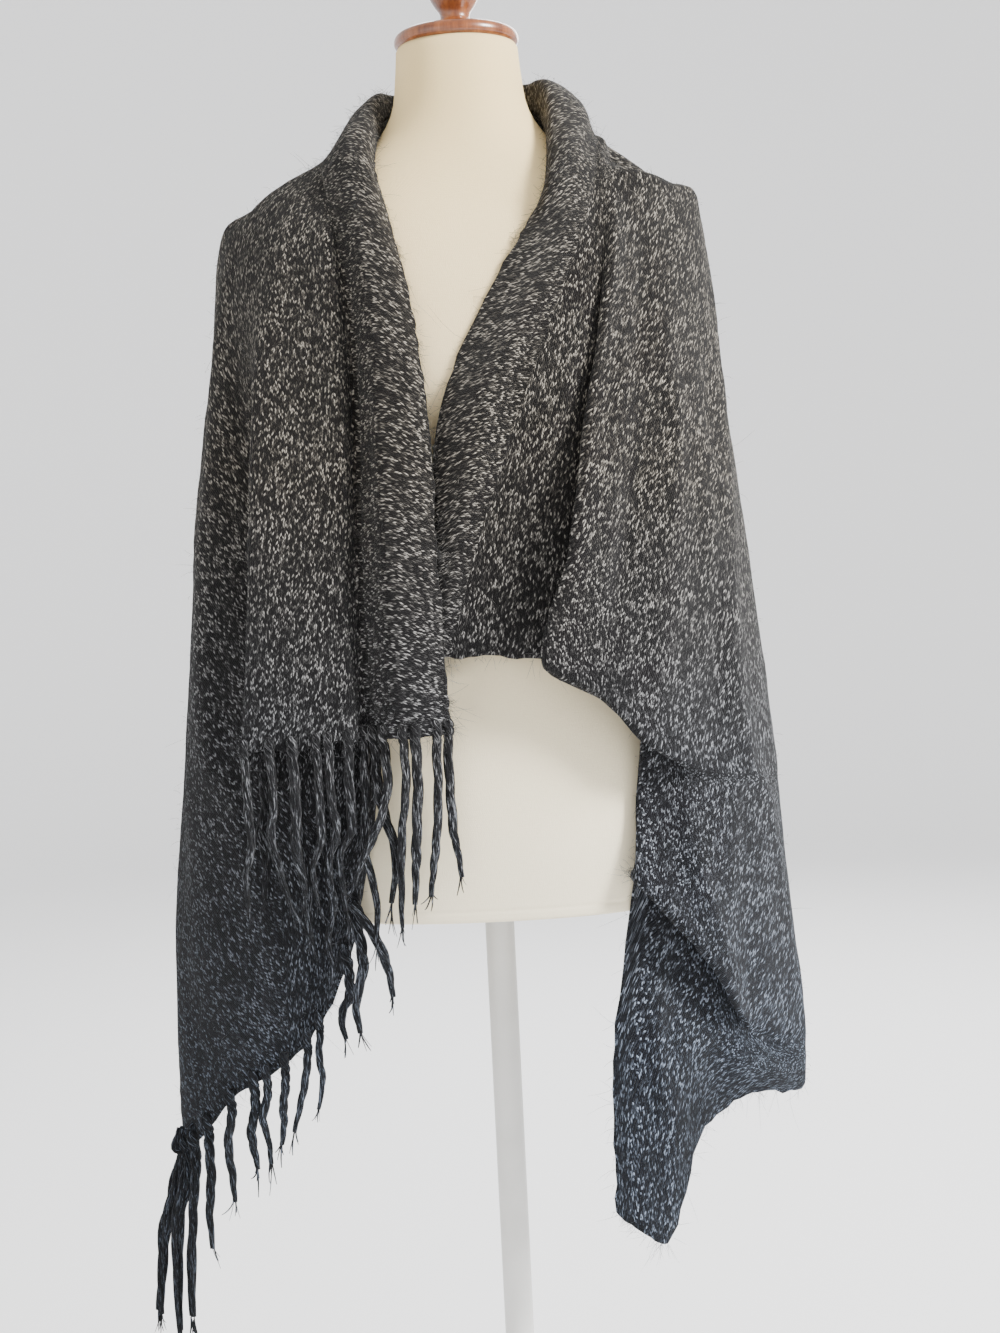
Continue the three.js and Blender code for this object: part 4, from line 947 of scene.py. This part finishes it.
    @staticmethod
    def block(every: np.ndarray, ids: np.ndarray, lean: float) -> tuple[np.ndarray, np.ndarray]:
        """Cells of a grid of points, with their corners in turn round the outer face.

        Args:
            every: all points by number.
            ids: the grid's numbers.
            lean: the angle that its wales lean by, in radians.

        Returns:
            The cells, (count, 4), and their grain map in metres, (count, 4, 2).
        """
        def corners(grid: np.ndarray) -> np.ndarray:
            """The four corners of each cell of a grid."""
            turn = (grid[:-1, 1:], grid[1:, 1:], grid[1:, :-1], grid[:-1, :-1])
            return np.stack(turn, 2).reshape(-1, 4, *grid.shape[2:])

        grid = every[ids]
        width, height = lengths(grid, 1), lengths(grid, 0)
        middle = width.shape[1] // 2
        width = width - width[:, middle:middle + 1]
        height = height.mean(1, keepdims=True) * 0.5 + height * 0.5
        across = width * math.cos(lean) + height * math.sin(lean)
        down = height * math.cos(lean) - width * math.sin(lean)
        return corners(ids), corners(np.stack([across, down], -1) * MM)

    def normals(self) -> np.ndarray:
        """The outward direction at each point, from the cells that meet there.

        Returns:
            Unit directions, (points, 3).
        """
        a, b, c, d = (self.points[self.cells[:, k]] for k in range(4))
        facing = np.cross(c - a, d - b)
        facing /= np.linalg.norm(facing, axis=1, keepdims=True).clip(TINY)
        total = np.zeros_like(self.points)
        for k in range(4):
            np.add.at(total, self.cells[:, k], facing)
        return total / np.linalg.norm(total, axis=1, keepdims=True).clip(TINY)

    def border(self) -> tuple[np.ndarray, np.ndarray]:
        """The cloth's free edges.

        Returns:
            Their pairs of points, in the cells' turning sense, and the cell that each is on.
        """
        edges = np.concatenate([self.cells[:, [k, (k + 1) % 4]] for k in range(4)])
        owner = np.tile(np.arange(len(self.cells)), 4)
        keys = np.sort(edges, axis=1) @ np.array([len(self.points), 1])
        _, first, count = np.unique(keys, return_index=True, return_counts=True)
        free = first[count == 1]
        return edges[free], owner[free]


@dataclass
class Wrap:
    """The knitted cloth, with a wall through its middle surface and uneven edges."""

    ripple: float = 0.7
    ripple_grain: float = 26.0
    fine_ripple_grain: float = 11.0
    ripple_rise: float = 60.0
    crease_steps: int = 90
    crease_waver: float = 0.3
    ragged: float = 2.2
    ragged_grain: float = 7.0
    trimmed: float = 0.4
    round_out: float = 1.3
    fibres: int = 6500
    edge_fibres: int = 2600
    fibre_radius: float = 0.11
    fibre_taper: float = 0.35

    def build(self, surface: WrapSurface) -> bpy.types.Object:
        """Builds the wall.

        Args:
            surface: the wrap's middle surface.

        Returns:
            The cloth.
        """
        points, normal = surface.points.copy(), surface.normals()
        edges, owner = surface.border()
        out = self.edge_directions(surface, edges, owner)
        rim = np.linalg.norm(out, axis=1) > 0
        wave = value_noise(points / self.ripple_grain, 3)
        wave = wave + 0.5 * value_noise(points / self.fine_ripple_grain, 5)
        calm = np.minimum(1, np.maximum(form_excess(points) * self.ripple_rise, 0))
        points += normal * (self.ripple * wave * calm + self.creases(surface, normal))[:, None]
        points = clear_of_form(points, FORM_CLEAR_CREASED)
        uneven = self.ragged * value_noise(points[rim] / self.ragged_grain, 7) - self.trimmed
        points[rim] += out[rim] * uneven[:, None]
        count = len(points)
        rims = np.flatnonzero(rim)
        place = np.zeros(count, int)
        place[rims] = 2 * count + np.arange(len(rims))
        outer, inner = points + normal * CLOTH / 2, points - normal * CLOTH / 2
        vertices = np.concatenate([outer, inner, points[rims] + out[rims] * self.round_out])
        a, b = edges[:, 0], edges[:, 1]
        upper = np.stack([b, a, place[a], place[b]], 1)
        lower = np.stack([place[b], place[a], a + count, b + count], 1)
        faces = np.concatenate([surface.cells, surface.cells[:, ::-1] + count, upper, lower])
        corner = (surface.cells[owner] == a[:, None]).argmax(1)
        grain_a = surface.grain[owner, corner]
        grain_b = surface.grain[owner, (corner + 1) % 4]
        strip = np.stack([grain_b, grain_a, grain_a, grain_b], 1)
        uvs = np.concatenate([surface.grain, surface.grain[:, ::-1], strip, strip])
        piece = make_mesh("wrap_knit", vertices * MM, faces.tolist(), uvs)
        piece.data.materials.append(MarledKnit(Yarn.STOCKING).make())
        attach(piece, "root")
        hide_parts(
            "band_left", "front_left", "drop_left", "back", "drop_right", "front_right", "band_right",
            "collar",
        )
        return piece

    def creases(self, surface: WrapSurface, normal: np.ndarray) -> np.ndarray:
        """How far the creases move each point of the cloth out.

        Args:
            surface: the wrap's middle surface.
            normal: its outward directions.

        Returns:
            The move at each point, in millimetres.
        """
        steps = self.crease_steps
        total = np.zeros(len(surface.points))
        rows = len(surface.main_ids) - 1
        for number, crease in enumerate(CREASES):
            stops = np.array([(surface.column(fold), part * rows, 0) for fold, part in crease.path])
            at = spline(stops, np.linspace(0, len(stops) - 1, steps)).round().astype(int)
            ids = surface.main_ids[at[:, 1].clip(0, rows), at[:, 0].clip(0, surface.main_ids.shape[1] - 1)]
            gap = np.linalg.norm(surface.points[:, None] - surface.points[ids], axis=-1)
            near = gap.argmin(1)
            t = near / (steps - 1)
            # The width swells and narrows along a crease, out of step with the crease before it
            uneven = 1 + self.crease_waver * np.sin(9 * t + 2.1 * number)
            # A crease shapes only the layer that it lies in, and runs out at both its ends
            same = (normal * normal[ids][near]).sum(1).clip(0, 1)
            reach = np.exp(-((gap.min(1) / (crease.width * uneven)) ** 2))
            total += crease.height * reach * same * np.sin(np.pi * t.clip(0.04, 0.96)) ** 0.6
        return total

    @staticmethod
    def edge_directions(surface: WrapSurface, edges: np.ndarray, owner: np.ndarray) -> np.ndarray:
        """The way out of the cloth at each point of a free edge.

        Args:
            surface: the wrap's middle surface.
            edges: its free edges, as pairs of points.
            owner: the cell that each is on.

        Returns:
            Unit directions, (points, 3), zero away from the edges.
        """
        middle = surface.points[surface.cells[owner]].mean(1)
        a, b = surface.points[edges[:, 0]], surface.points[edges[:, 1]]
        along = (b - a) / np.linalg.norm(b - a, axis=1, keepdims=True).clip(TINY)
        out = (a + b) / 2 - middle
        out -= along * (out * along).sum(1, keepdims=True)
        out /= np.linalg.norm(out, axis=1, keepdims=True).clip(TINY)
        total = np.zeros_like(surface.points)
        for k in range(2):
            np.add.at(total, edges[:, k], out)
        size = np.linalg.norm(total, axis=1, keepdims=True)
        return np.divide(total, size, out=np.zeros_like(total), where=size > 0)

    def fuzz(self, surface: WrapSurface) -> bpy.types.Object:
        """Builds the loose fibres that stand off the cloth and its edges.

        Args:
            surface: the wrap's middle surface.

        Returns:
            The fibres as one mesh.
        """
        draw = np.random.default_rng(21)
        normal = surface.normals()
        edges, owner = surface.border()
        out = self.edge_directions(surface, edges, owner)
        roots = draw.integers(0, len(surface.points), self.fibres)
        rims = draw.choice(np.unique(edges), self.edge_fibres)
        # On the face, fibres start just under the surface and lean out of it at random
        start = surface.points[roots] + normal[roots] * CLOTH * 0.45
        start = start + draw.normal(0, 2.5, (len(roots), 3)) * 0.6
        lean = normal[roots] + draw.normal(0, 0.9, (len(roots), 3))
        # At the free edges they are longer, point away from the cloth and sag
        edge_start = surface.points[rims] + out[rims] * 0.8 + draw.normal(0, 0.8, (len(rims), 3))
        edge_lean = out[rims] * 1.1 + draw.normal(0, 0.6, (len(rims), 3)) - (0, 0, 0.25)
        starts = np.concatenate([start, edge_start])
        leans = np.concatenate([lean, edge_lean])
        leans /= np.linalg.norm(leans, axis=1, keepdims=True)
        size = [draw.gamma(3.0, 1.5, len(start)), draw.gamma(2.2, 3.2, len(rims))]
        size = np.concatenate(size).clip(1.5, 22)
        bend = draw.normal(0, 0.45, starts.shape) - (0, 0, 0.25)
        steps = np.linspace(0, 1, 4)[:, None, None]
        paths = starts + (leans * steps + bend * steps**2) * size[:, None]
        lines = list(paths.swapaxes(0, 1))
        piece = tubes("wrap_fibres", lines, self.fibre_radius, 3, self.fibre_taper)
        piece.data.materials.append(MarledKnit(Yarn.LOOSE).make())
        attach(piece, "root")
        return piece


def tubes(
    name: str, paths: list[np.ndarray], radius: float | np.ndarray, sides: int, taper: float,
) -> bpy.types.Object:
    """Closed tubes along paths, in one mesh.

    Args:
        name: the piece's name.
        paths: the tubes' lines in millimetres, each (steps, 3).
        radius: their radius, or one for each.
        sides: sides of a tube.
        taper: the tip's radius as a part of the root's.

    Returns:
        The mesh, with a grain map that runs along each tube.
    """
    vertices, faces, uvs, first = [], [], [], 0
    angles = 2 * np.pi * np.arange(sides) / sides
    radii = np.broadcast_to(radius, len(paths))
    for number, (path, size) in enumerate(zip(paths, radii)):
        steps = len(path)
        tangent = np.gradient(path, axis=0)
        tangent /= np.linalg.norm(tangent, axis=1, keepdims=True).clip(TINY)
        across = np.cross(tangent, TUBE_ASIDE)
        across /= np.linalg.norm(across, axis=1, keepdims=True).clip(TINY)
        other = np.cross(tangent, across)
        marks = [0, (steps - 1) * TUBE_NARROWS_AT, steps - 1]
        width = size * np.interp(np.arange(steps), marks, [1, TUBE_RADIUS_THERE, taper])
        ring = np.cos(angles)[None, :, None] * across[:, None]
        ring = ring + np.sin(angles)[None, :, None] * other[:, None]
        vertices.append((path[:, None] + ring * width[:, None, None]).reshape(-1, 3))
        ids = first + np.arange(steps * sides).reshape(steps, sides)
        near = np.roll(ids, -1, axis=1)
        quads = np.stack([ids[:-1], near[:-1], near[1:], ids[1:]], -1).reshape(-1, 4)
        faces.extend(quads.tolist())
        faces.append(ids[0, ::-1].tolist())
        faces.append(ids[-1].tolist())
        run = lengths(path) * MM + number * TUBE_GRAIN_STEP
        turn = np.arange(sides + 1) * 2 * np.pi * size / sides * MM
        for row in range(steps - 1):
            for k in range(sides):
                low, high, left, right = run[row], run[row + 1], turn[k], turn[k + 1]
                uvs.extend([(left, low), (right, low), (right, high), (left, high)])
        uvs.extend([(0.0, run[0])] * sides)
        uvs.extend([(0.0, run[-1])] * sides)
        first += steps * sides
    return make_mesh(name, np.concatenate(vertices) * MM, faces, np.array(uvs))


@dataclass
class Fringe:
    """Strands of yarn knotted into one stretch of the hem, twisted, with frayed tips."""

    node: str
    first: str
    last: str
    strands: list
    ply_radius: float = 2.5
    ply_offset: float = 1.6
    turns: float = 2.6
    plies: int = 3
    hairs: int = 5
    steps: int = 34
    sides: int = 6
    taper: float = 0.45
    thickness: tuple = (0.82, 1.18)
    ply_thickness: tuple = (0.85, 1.1)
    waver: float = 0.22
    clump_spread: tuple = (2.2, 1.6, 5)
    hair_steps: int = 7
    hair_length: tuple = (10, 24)
    hair_start: tuple = (8, 12)
    hair_radius: tuple = (0.25, 0.75)
    knot: tuple = ((-10, 2.2), (-3, 3.4), (5, 1.2))  # how far below the hem and out of it a strand starts

    def hem(self, surface: WrapSurface) -> tuple[np.ndarray, np.ndarray, np.ndarray]:
        """The stretch of hem that the strands are knotted into.

        Args:
            surface: the wrap's middle surface.

        Returns:
            Its points, its outward directions and its downward directions.
        """
        columns = np.arange(surface.column(self.first), surface.column(self.last) + 1)
        ids = surface.main_ids[-1, columns]
        below = surface.points[ids] - surface.points[surface.main_ids[-3, columns]]
        below /= np.linalg.norm(below, axis=1, keepdims=True).clip(TINY)
        below = below * 0.4 - (0, 0, 0.6)
        return surface.points[ids], surface.normals()[ids], below

    @staticmethod
    def over(across: np.ndarray, values: np.ndarray, place: float) -> np.ndarray:
        """The vector in values where the hem passes over a place across it."""
        return np.array([np.interp(place, across, values[:, k]) for k in range(3)])

    def build(self, surface: WrapSurface) -> bpy.types.Object:
        """Builds the strands as one mesh.

        Args:
            surface: the wrap's middle surface.

        Returns:
            The fringe.
        """
        draw = np.random.default_rng(len(self.node) * 7 + len(self.strands))
        line, outs, belows = self.hem(surface)
        order = line[:, 0].argsort()
        paths, radii = [], []
        for strand in self.strands:
            low = strand["low"][0]
            hem = (self.over(line[order, 0], values[order], low) for values in (line, outs, belows))
            knot, out, below = hem
            points = [knot + below * down + out * away for down, away in self.knot]
            points += [(strand[key][0], strand["deep"], strand[key][1]) for key in STRAND_PATH]
            for number in range(strand.get("clump", 1)):
                aside = draw.normal(0, 1, (len(points), 3)) * self.clump_spread * min(number, 1)
                self.twist(points + aside, draw, paths, radii)
                self.fray(points + aside, draw, paths, radii)
        piece = tubes(f"{self.node}_yarn", paths, np.array(radii), self.sides, self.taper)
        piece.data.materials.append(MarledKnit(Yarn.TWISTED, wale=0.0030, course=0.0042, slant=1.4).make())
        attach(piece, "root")
        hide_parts(self.node)
        return piece

    def twist(self, points: np.ndarray, draw: np.random.Generator, paths: list, radii: list) -> None:
        """Adds a strand's plies, wound round its line.

        Args:
            points: the strand's line.
            draw: the random draws.
            paths: the tubes' lines, added to.
            radii: their radii, added to.
        """
        steps = self.steps
        t = np.linspace(0, 1, steps)
        centre = spline(points, t * (len(points) - 1))
        size = draw.uniform(*self.thickness)
        phase = draw.uniform(0, 2 * np.pi)
        loose = 1 + self.waver * value_noise(np.stack([t * 5, np.full(steps, phase)], 1), 9)
        for ply in range(self.plies):
            angle = phase + 2 * np.pi * (self.turns * t + ply / self.plies)
            spread = self.ply_offset * size * loose * (1 - 0.6 * t**4)
            flat = np.stack([np.cos(angle) * spread * 1.35, np.sin(angle) * spread * 0.8, np.zeros(steps)], 1)
            end = int(steps * draw.uniform(0.985, 1.0))
            paths.append((centre + flat)[:end])
            radii.append(self.ply_radius * size * draw.uniform(*self.ply_thickness))

    def fray(self, points: np.ndarray, draw: np.random.Generator, paths: list, radii: list) -> None:
        """Adds fine hairs that part at a strand's tip.

        Args:
            points: the strand's line.
            draw: the random draws.
            paths: the tubes' lines, added to.
            radii: their radii, added to.
        """
        tip, above = points[-1], spline(points, np.array([len(points) - 1.35]))[0]
        way = (tip - above) / np.linalg.norm(tip - above)
        for _ in range(self.hairs):
            reach = draw.uniform(*self.hair_length)
            aside = draw.normal(0, 0.2, 3) * (1, 0.5, 0.6)
            t = np.linspace(0, 1, self.hair_steps)[:, None]
            start = tip - way * draw.uniform(*self.hair_start) + draw.normal(0, 0.5, 3)
            paths.append(start + (way * t + aside * t**1.6 + draw.normal(0, 0.1, 3) * t**3) * reach)
            radii.append(draw.uniform(*self.hair_radius))


@dataclass
class DressForm:
    """The padded torso with its cover drawn tight, seamed near its underside."""

    sides: int = 128
    pitch: float = 9.0
    fine_up_to: float = 20.0
    seam_high: float = 9.0
    seam_deep: float = 0.9
    seam_half: float = 1.5
    grain_ring: int = 40  # the ring whose length sets the weave out round the form
    grain_close: float = 8.0

    def build(self) -> bpy.types.Object:
        """Builds the torso as rings, closed at both ends.

        Returns:
            The torso.
        """
        low = np.arange(0, self.fine_up_to, 1.0)
        middle = np.arange(self.fine_up_to, NECK_HEIGHT - 4, self.pitch)
        heights = np.concatenate([low, middle, [NECK_HEIGHT - 3, NECK_HEIGHT]])
        section = form_section(heights)
        angle = 2 * np.pi * np.arange(self.sides) / self.sides
        across, deep = np.cos(angle), np.sin(angle)
        power = 2 / section[:, 3:4]
        groove = self.seam_deep * np.exp(-(((heights - self.seam_high) / self.seam_half) ** 2))
        edge = np.interp(heights, [0, 1, 2.5, NECK_HEIGHT - 3, NECK_HEIGHT], [2.2, 0.8, 0, 0, 1.5])
        shrink = 1 - (groove + edge)[:, None] / section[:, :1]
        x = np.sign(across) * np.abs(across) ** power * section[:, :1] * shrink
        depth = np.where(deep < 0, section[:, 1:2], section[:, 2:3])
        y = np.sign(deep) * np.abs(deep) ** power * depth * shrink
        z = np.broadcast_to(FORM_BOTTOM + heights[:, None], x.shape)
        rings = np.stack([x, y, z], -1)
        ids = np.arange(rings[:, :, 0].size).reshape(rings.shape[:2])
        near = np.roll(ids, -1, axis=1)
        quads = np.stack([ids[:-1], near[:-1], near[1:], ids[1:]], -1).reshape(-1, 4)
        around = lengths(rings[self.grain_ring])
        around = np.append(around, around[-1] + self.grain_close)
        grain = np.stack(np.broadcast_arrays(around[None, :], heights[:, None]), -1) * MM
        turn = (grain[:-1, :-1], grain[:-1, 1:], grain[1:, 1:], grain[1:, :-1])
        uvs = np.stack(turn, 2).reshape(-1, 4, 2)
        centres = np.array([[0, 0, FORM_BOTTOM], [0, 0, FORM_BOTTOM + NECK_HEIGHT]])
        vertices = np.concatenate([rings.reshape(-1, 3), centres])
        bottom, top = len(vertices) - 2, len(vertices) - 1
        low_fan = np.stack([np.full(self.sides, bottom), near[0], ids[0]], 1)
        high_fan = np.stack([np.full(self.sides, top), ids[-1], near[-1]], 1)
        faces = quads.tolist() + low_fan.tolist() + high_fan.tolist()
        fans = vertices[np.concatenate([low_fan, high_fan])][:, :, :2].reshape(-1, 2) * MM
        piece = make_mesh("torso_linen", vertices * MM, faces, np.concatenate([uvs.reshape(-1, 2), fans]))
        piece.data.materials.append(Linen().make())
        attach(piece, "root")
        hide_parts("torso")
        return piece


@dataclass(frozen=True)
class Turning:
    """A piece turned about the upright axis, from its profile of (radius, height) in millimetres."""

    name: str
    node: str
    bottom: float
    profile: tuple
    slot: str
    sides: int = 96

    def build(self, material: bpy.types.Material) -> bpy.types.Object:
        """Extrudes a disc up through the profile.

        Args:
            material: its finish.

        Returns:
            The piece.
        """
        radius, high = self.profile[0]
        bpy.ops.object.select_all(action="DESELECT")
        foot = (0, 0, (self.bottom + high) * MM)
        bpy.ops.mesh.primitive_circle_add(
            vertices=self.sides, radius=radius * MM, fill_type="NGON", location=foot,
        )
        piece = bpy.context.active_object
        bpy.ops.object.transform_apply(location=True, rotation=True, scale=True)
        bpy.ops.object.mode_set(mode="EDIT")
        bpy.ops.mesh.select_all(action="SELECT")
        for (before, low), (after, up) in zip(self.profile, self.profile[1:]):
            bpy.ops.mesh.extrude_region_move(TRANSFORM_OT_translate={"value": (0, 0, (up - low) * MM)})
            scale = after / before
            centre = (0, 0, (self.bottom + up) * MM)
            bpy.ops.transform.resize(value=(scale, scale, 1), center_override=centre)
        bpy.ops.mesh.select_all(action="SELECT")
        bpy.ops.mesh.normals_make_consistent(inside=False)
        bpy.ops.object.mode_set(mode="OBJECT")
        piece.name = self.name
        piece.data.name = self.name
        bpy.ops.object.shade_smooth_by_angle(angle=math.radians(32))
        piece.data.materials.append(material)
        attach(piece, "root")
        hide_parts(self.node)
        return piece


@dataclass
class Stand:
    """The wooden neck cap, and the pole on its round base."""

    base_height: float = 16.0
    socket_height: float = 34.0
    flange_height: float = 5.0

    def build(self) -> list[bpy.types.Object]:
        """Builds the turned pieces.

        Returns:
            The cap, the base, the socket, the pole and the flange.
        """
        wood, paint = VarnishedWood().make(), SatinPaint().make()
        cap = spline(np.array([
            (49, 0, 0), (51.5, 2.5, 0), (51.5, 7, 0), (49, 10.5, 0), (36, 14, 0), (20, 18, 0), (13, 22, 0),
            (12.5, 27, 0), (17, 34, 0), (21, 42, 0), (21, 50, 0), (17, 59, 0), (9, 66, 0), (0.6, 68, 0),
        ], float), np.linspace(0, 13, 53))
        socket_at = self.base_height + SEAM
        pole_at = socket_at + self.socket_height + SEAM
        flange_at = FORM_BOTTOM - SEAM - self.flange_height
        pole = flange_at - SEAM - pole_at
        edge = [(155 - 5 * (1 - math.cos(a)), 11 + 5 * math.sin(a)) for a in np.linspace(0, math.pi / 2, 6)]
        cap_at = FORM_BOTTOM + NECK_HEIGHT + SEAM
        flange = ((20.5, 0), (45, 3), (45, 4.6), (44.6, 5))
        turnings = (
            Turning("neck_cap_wood", "neck_cap", cap_at, tuple((r, h) for r, h, _ in cap), "wood"),
            Turning("base_paint", "stand_base", 0, ((153.5, 0), (155, 1.5), *edge), "paint"),
            Turning(
                "socket_paint", "stand_socket", socket_at,
                ((32, 0), (31, 3), (28, 5.5), (24, 8), (20.5, 33), (20, 34)), "paint", 64,
            ),
            Turning(
                "pole_paint", "stand_pole", pole_at,
                ((12.5, 0), (12.5, pole / 2), (12.5, pole)), "paint", 64,
            ),
            Turning("flange_paint", "stand_flange", flange_at, flange, "paint", 64),
        )
        return [turning.build(wood if turning.slot == "wood" else paint) for turning in turnings]


@dataclass
class Studio:
    """A pale bowl of a floor, soft lights and the photo's camera."""

    flat: float = 4.6
    reach: float = 7.5
    wall: float = 5.0
    eye: tuple = (0.011, -1.6, 1.074)
    aim: tuple = (0.011, 0.0, 0.954)
    roll: float = -2.8
    lens: float = 50.83
    sides: int = 96
    sunk: float = 0.0005
    pale: tuple = (0.93, 0.93, 0.935)
    lit_height: float = 1.05
    world: float = 1.1
    lamps: tuple = (
        ("key", (2.7, -1.5, 3.0), 1.0, 360),
        ("fill", (-2.4, -2.6, 1.7), 2.4, 18),
        ("back", (0.6, 2.8, 2.6), 2.2, 110),
    )

    def build(self) -> None:
        """Builds the floor, lights and camera."""
        curve = self.reach - self.flat
        turn = np.linspace(0, np.pi / 2, 12)
        profile = [(0.05, 0), (1.5, 0), (3.2, 0)]
        profile += [(self.flat + curve * math.sin(a), self.wall * (1 - math.cos(a))) for a in turn]
        angle = 2 * np.pi * np.arange(self.sides) / self.sides
        rings = np.array([
            [(r * math.cos(a), r * math.sin(a), h - self.sunk) for a in angle] for r, h in profile
        ])
        ids = np.arange(rings[:, :, 0].size).reshape(rings.shape[:2])
        near = np.roll(ids, -1, axis=1)
        faces = np.stack([ids[:-1], ids[1:], near[1:], near[:-1]], -1).reshape(-1, 4).tolist()
        floor = make_mesh("floor", rings.reshape(-1, 3), [*faces, ids[0].tolist()])
        graph = Graph("floor_pale")
        relief = graph.bump(graph.noise(graph.place(), 60.0), 0.0004, 0.1)
        floor.data.materials.append(graph.finish((*self.pale, 1), 0.7, relief))
        for lamp in self.lamps:
            self.light(*lamp)
        world = bpy.data.worlds.new("studio")
        world.use_nodes = True
        background = world.node_tree.nodes["Background"]
        background.inputs["Color"].default_value = (1.0, 1.0, 1.0, 1)
        background.inputs["Strength"].default_value = self.world
        bpy.context.scene.world = world
        data = bpy.data.cameras.new("camera")
        data.lens = self.lens
        camera = bpy.data.objects.new("camera", data)
        bpy.context.scene.collection.objects.link(camera)
        camera.location = self.eye
        way = Vector(self.aim) - Vector(self.eye)
        camera.rotation_euler = way.to_track_quat("-Z", "Y").to_euler()
        camera.rotation_euler.rotate_axis("Z", math.radians(self.roll))
        bpy.context.scene.camera = camera

    def light(self, name: str, place: tuple, size: float, power: float) -> None:
        """Adds a square light that faces the middle of the form.

        Args:
            name: its name.
            place: where it stands, in metres.
            size: its side, in metres.
            power: its power, in watts.
        """
        data = bpy.data.lights.new(name, "AREA")
        data.size = size
        data.energy = power
        lamp = bpy.data.objects.new(name, data)
        bpy.context.scene.collection.objects.link(lamp)
        lamp.location = place
        way = Vector((0, 0, self.lit_height)) - Vector(place)
        lamp.rotation_euler = way.to_track_quat("-Z", "Y").to_euler()


def main() -> None:
    """Builds the studio, the form and its stand, then the wrap with its fringe and fibres."""
    logging.basicConfig(level=logging.INFO, format="%(message)s")
    Studio().build()
    log.info("studio")
    for piece in (DressForm().build(), *Stand().build()):
        log.info("%s", piece.name)
    surface = WrapSurface()
    wrap = Wrap()
    cloth = wrap.build(surface)
    with_cloth = [wrap.fuzz(surface)]
    for node, (first, last, strands) in FRINGES.items():
        with_cloth.append(Fringe(node, first, last, strands).build(surface))
    for piece in (cloth, *with_cloth):
        log.info("%s %d faces", piece.name, len(piece.data.polygons))
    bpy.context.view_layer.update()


if __name__ == "__main__":
    main()
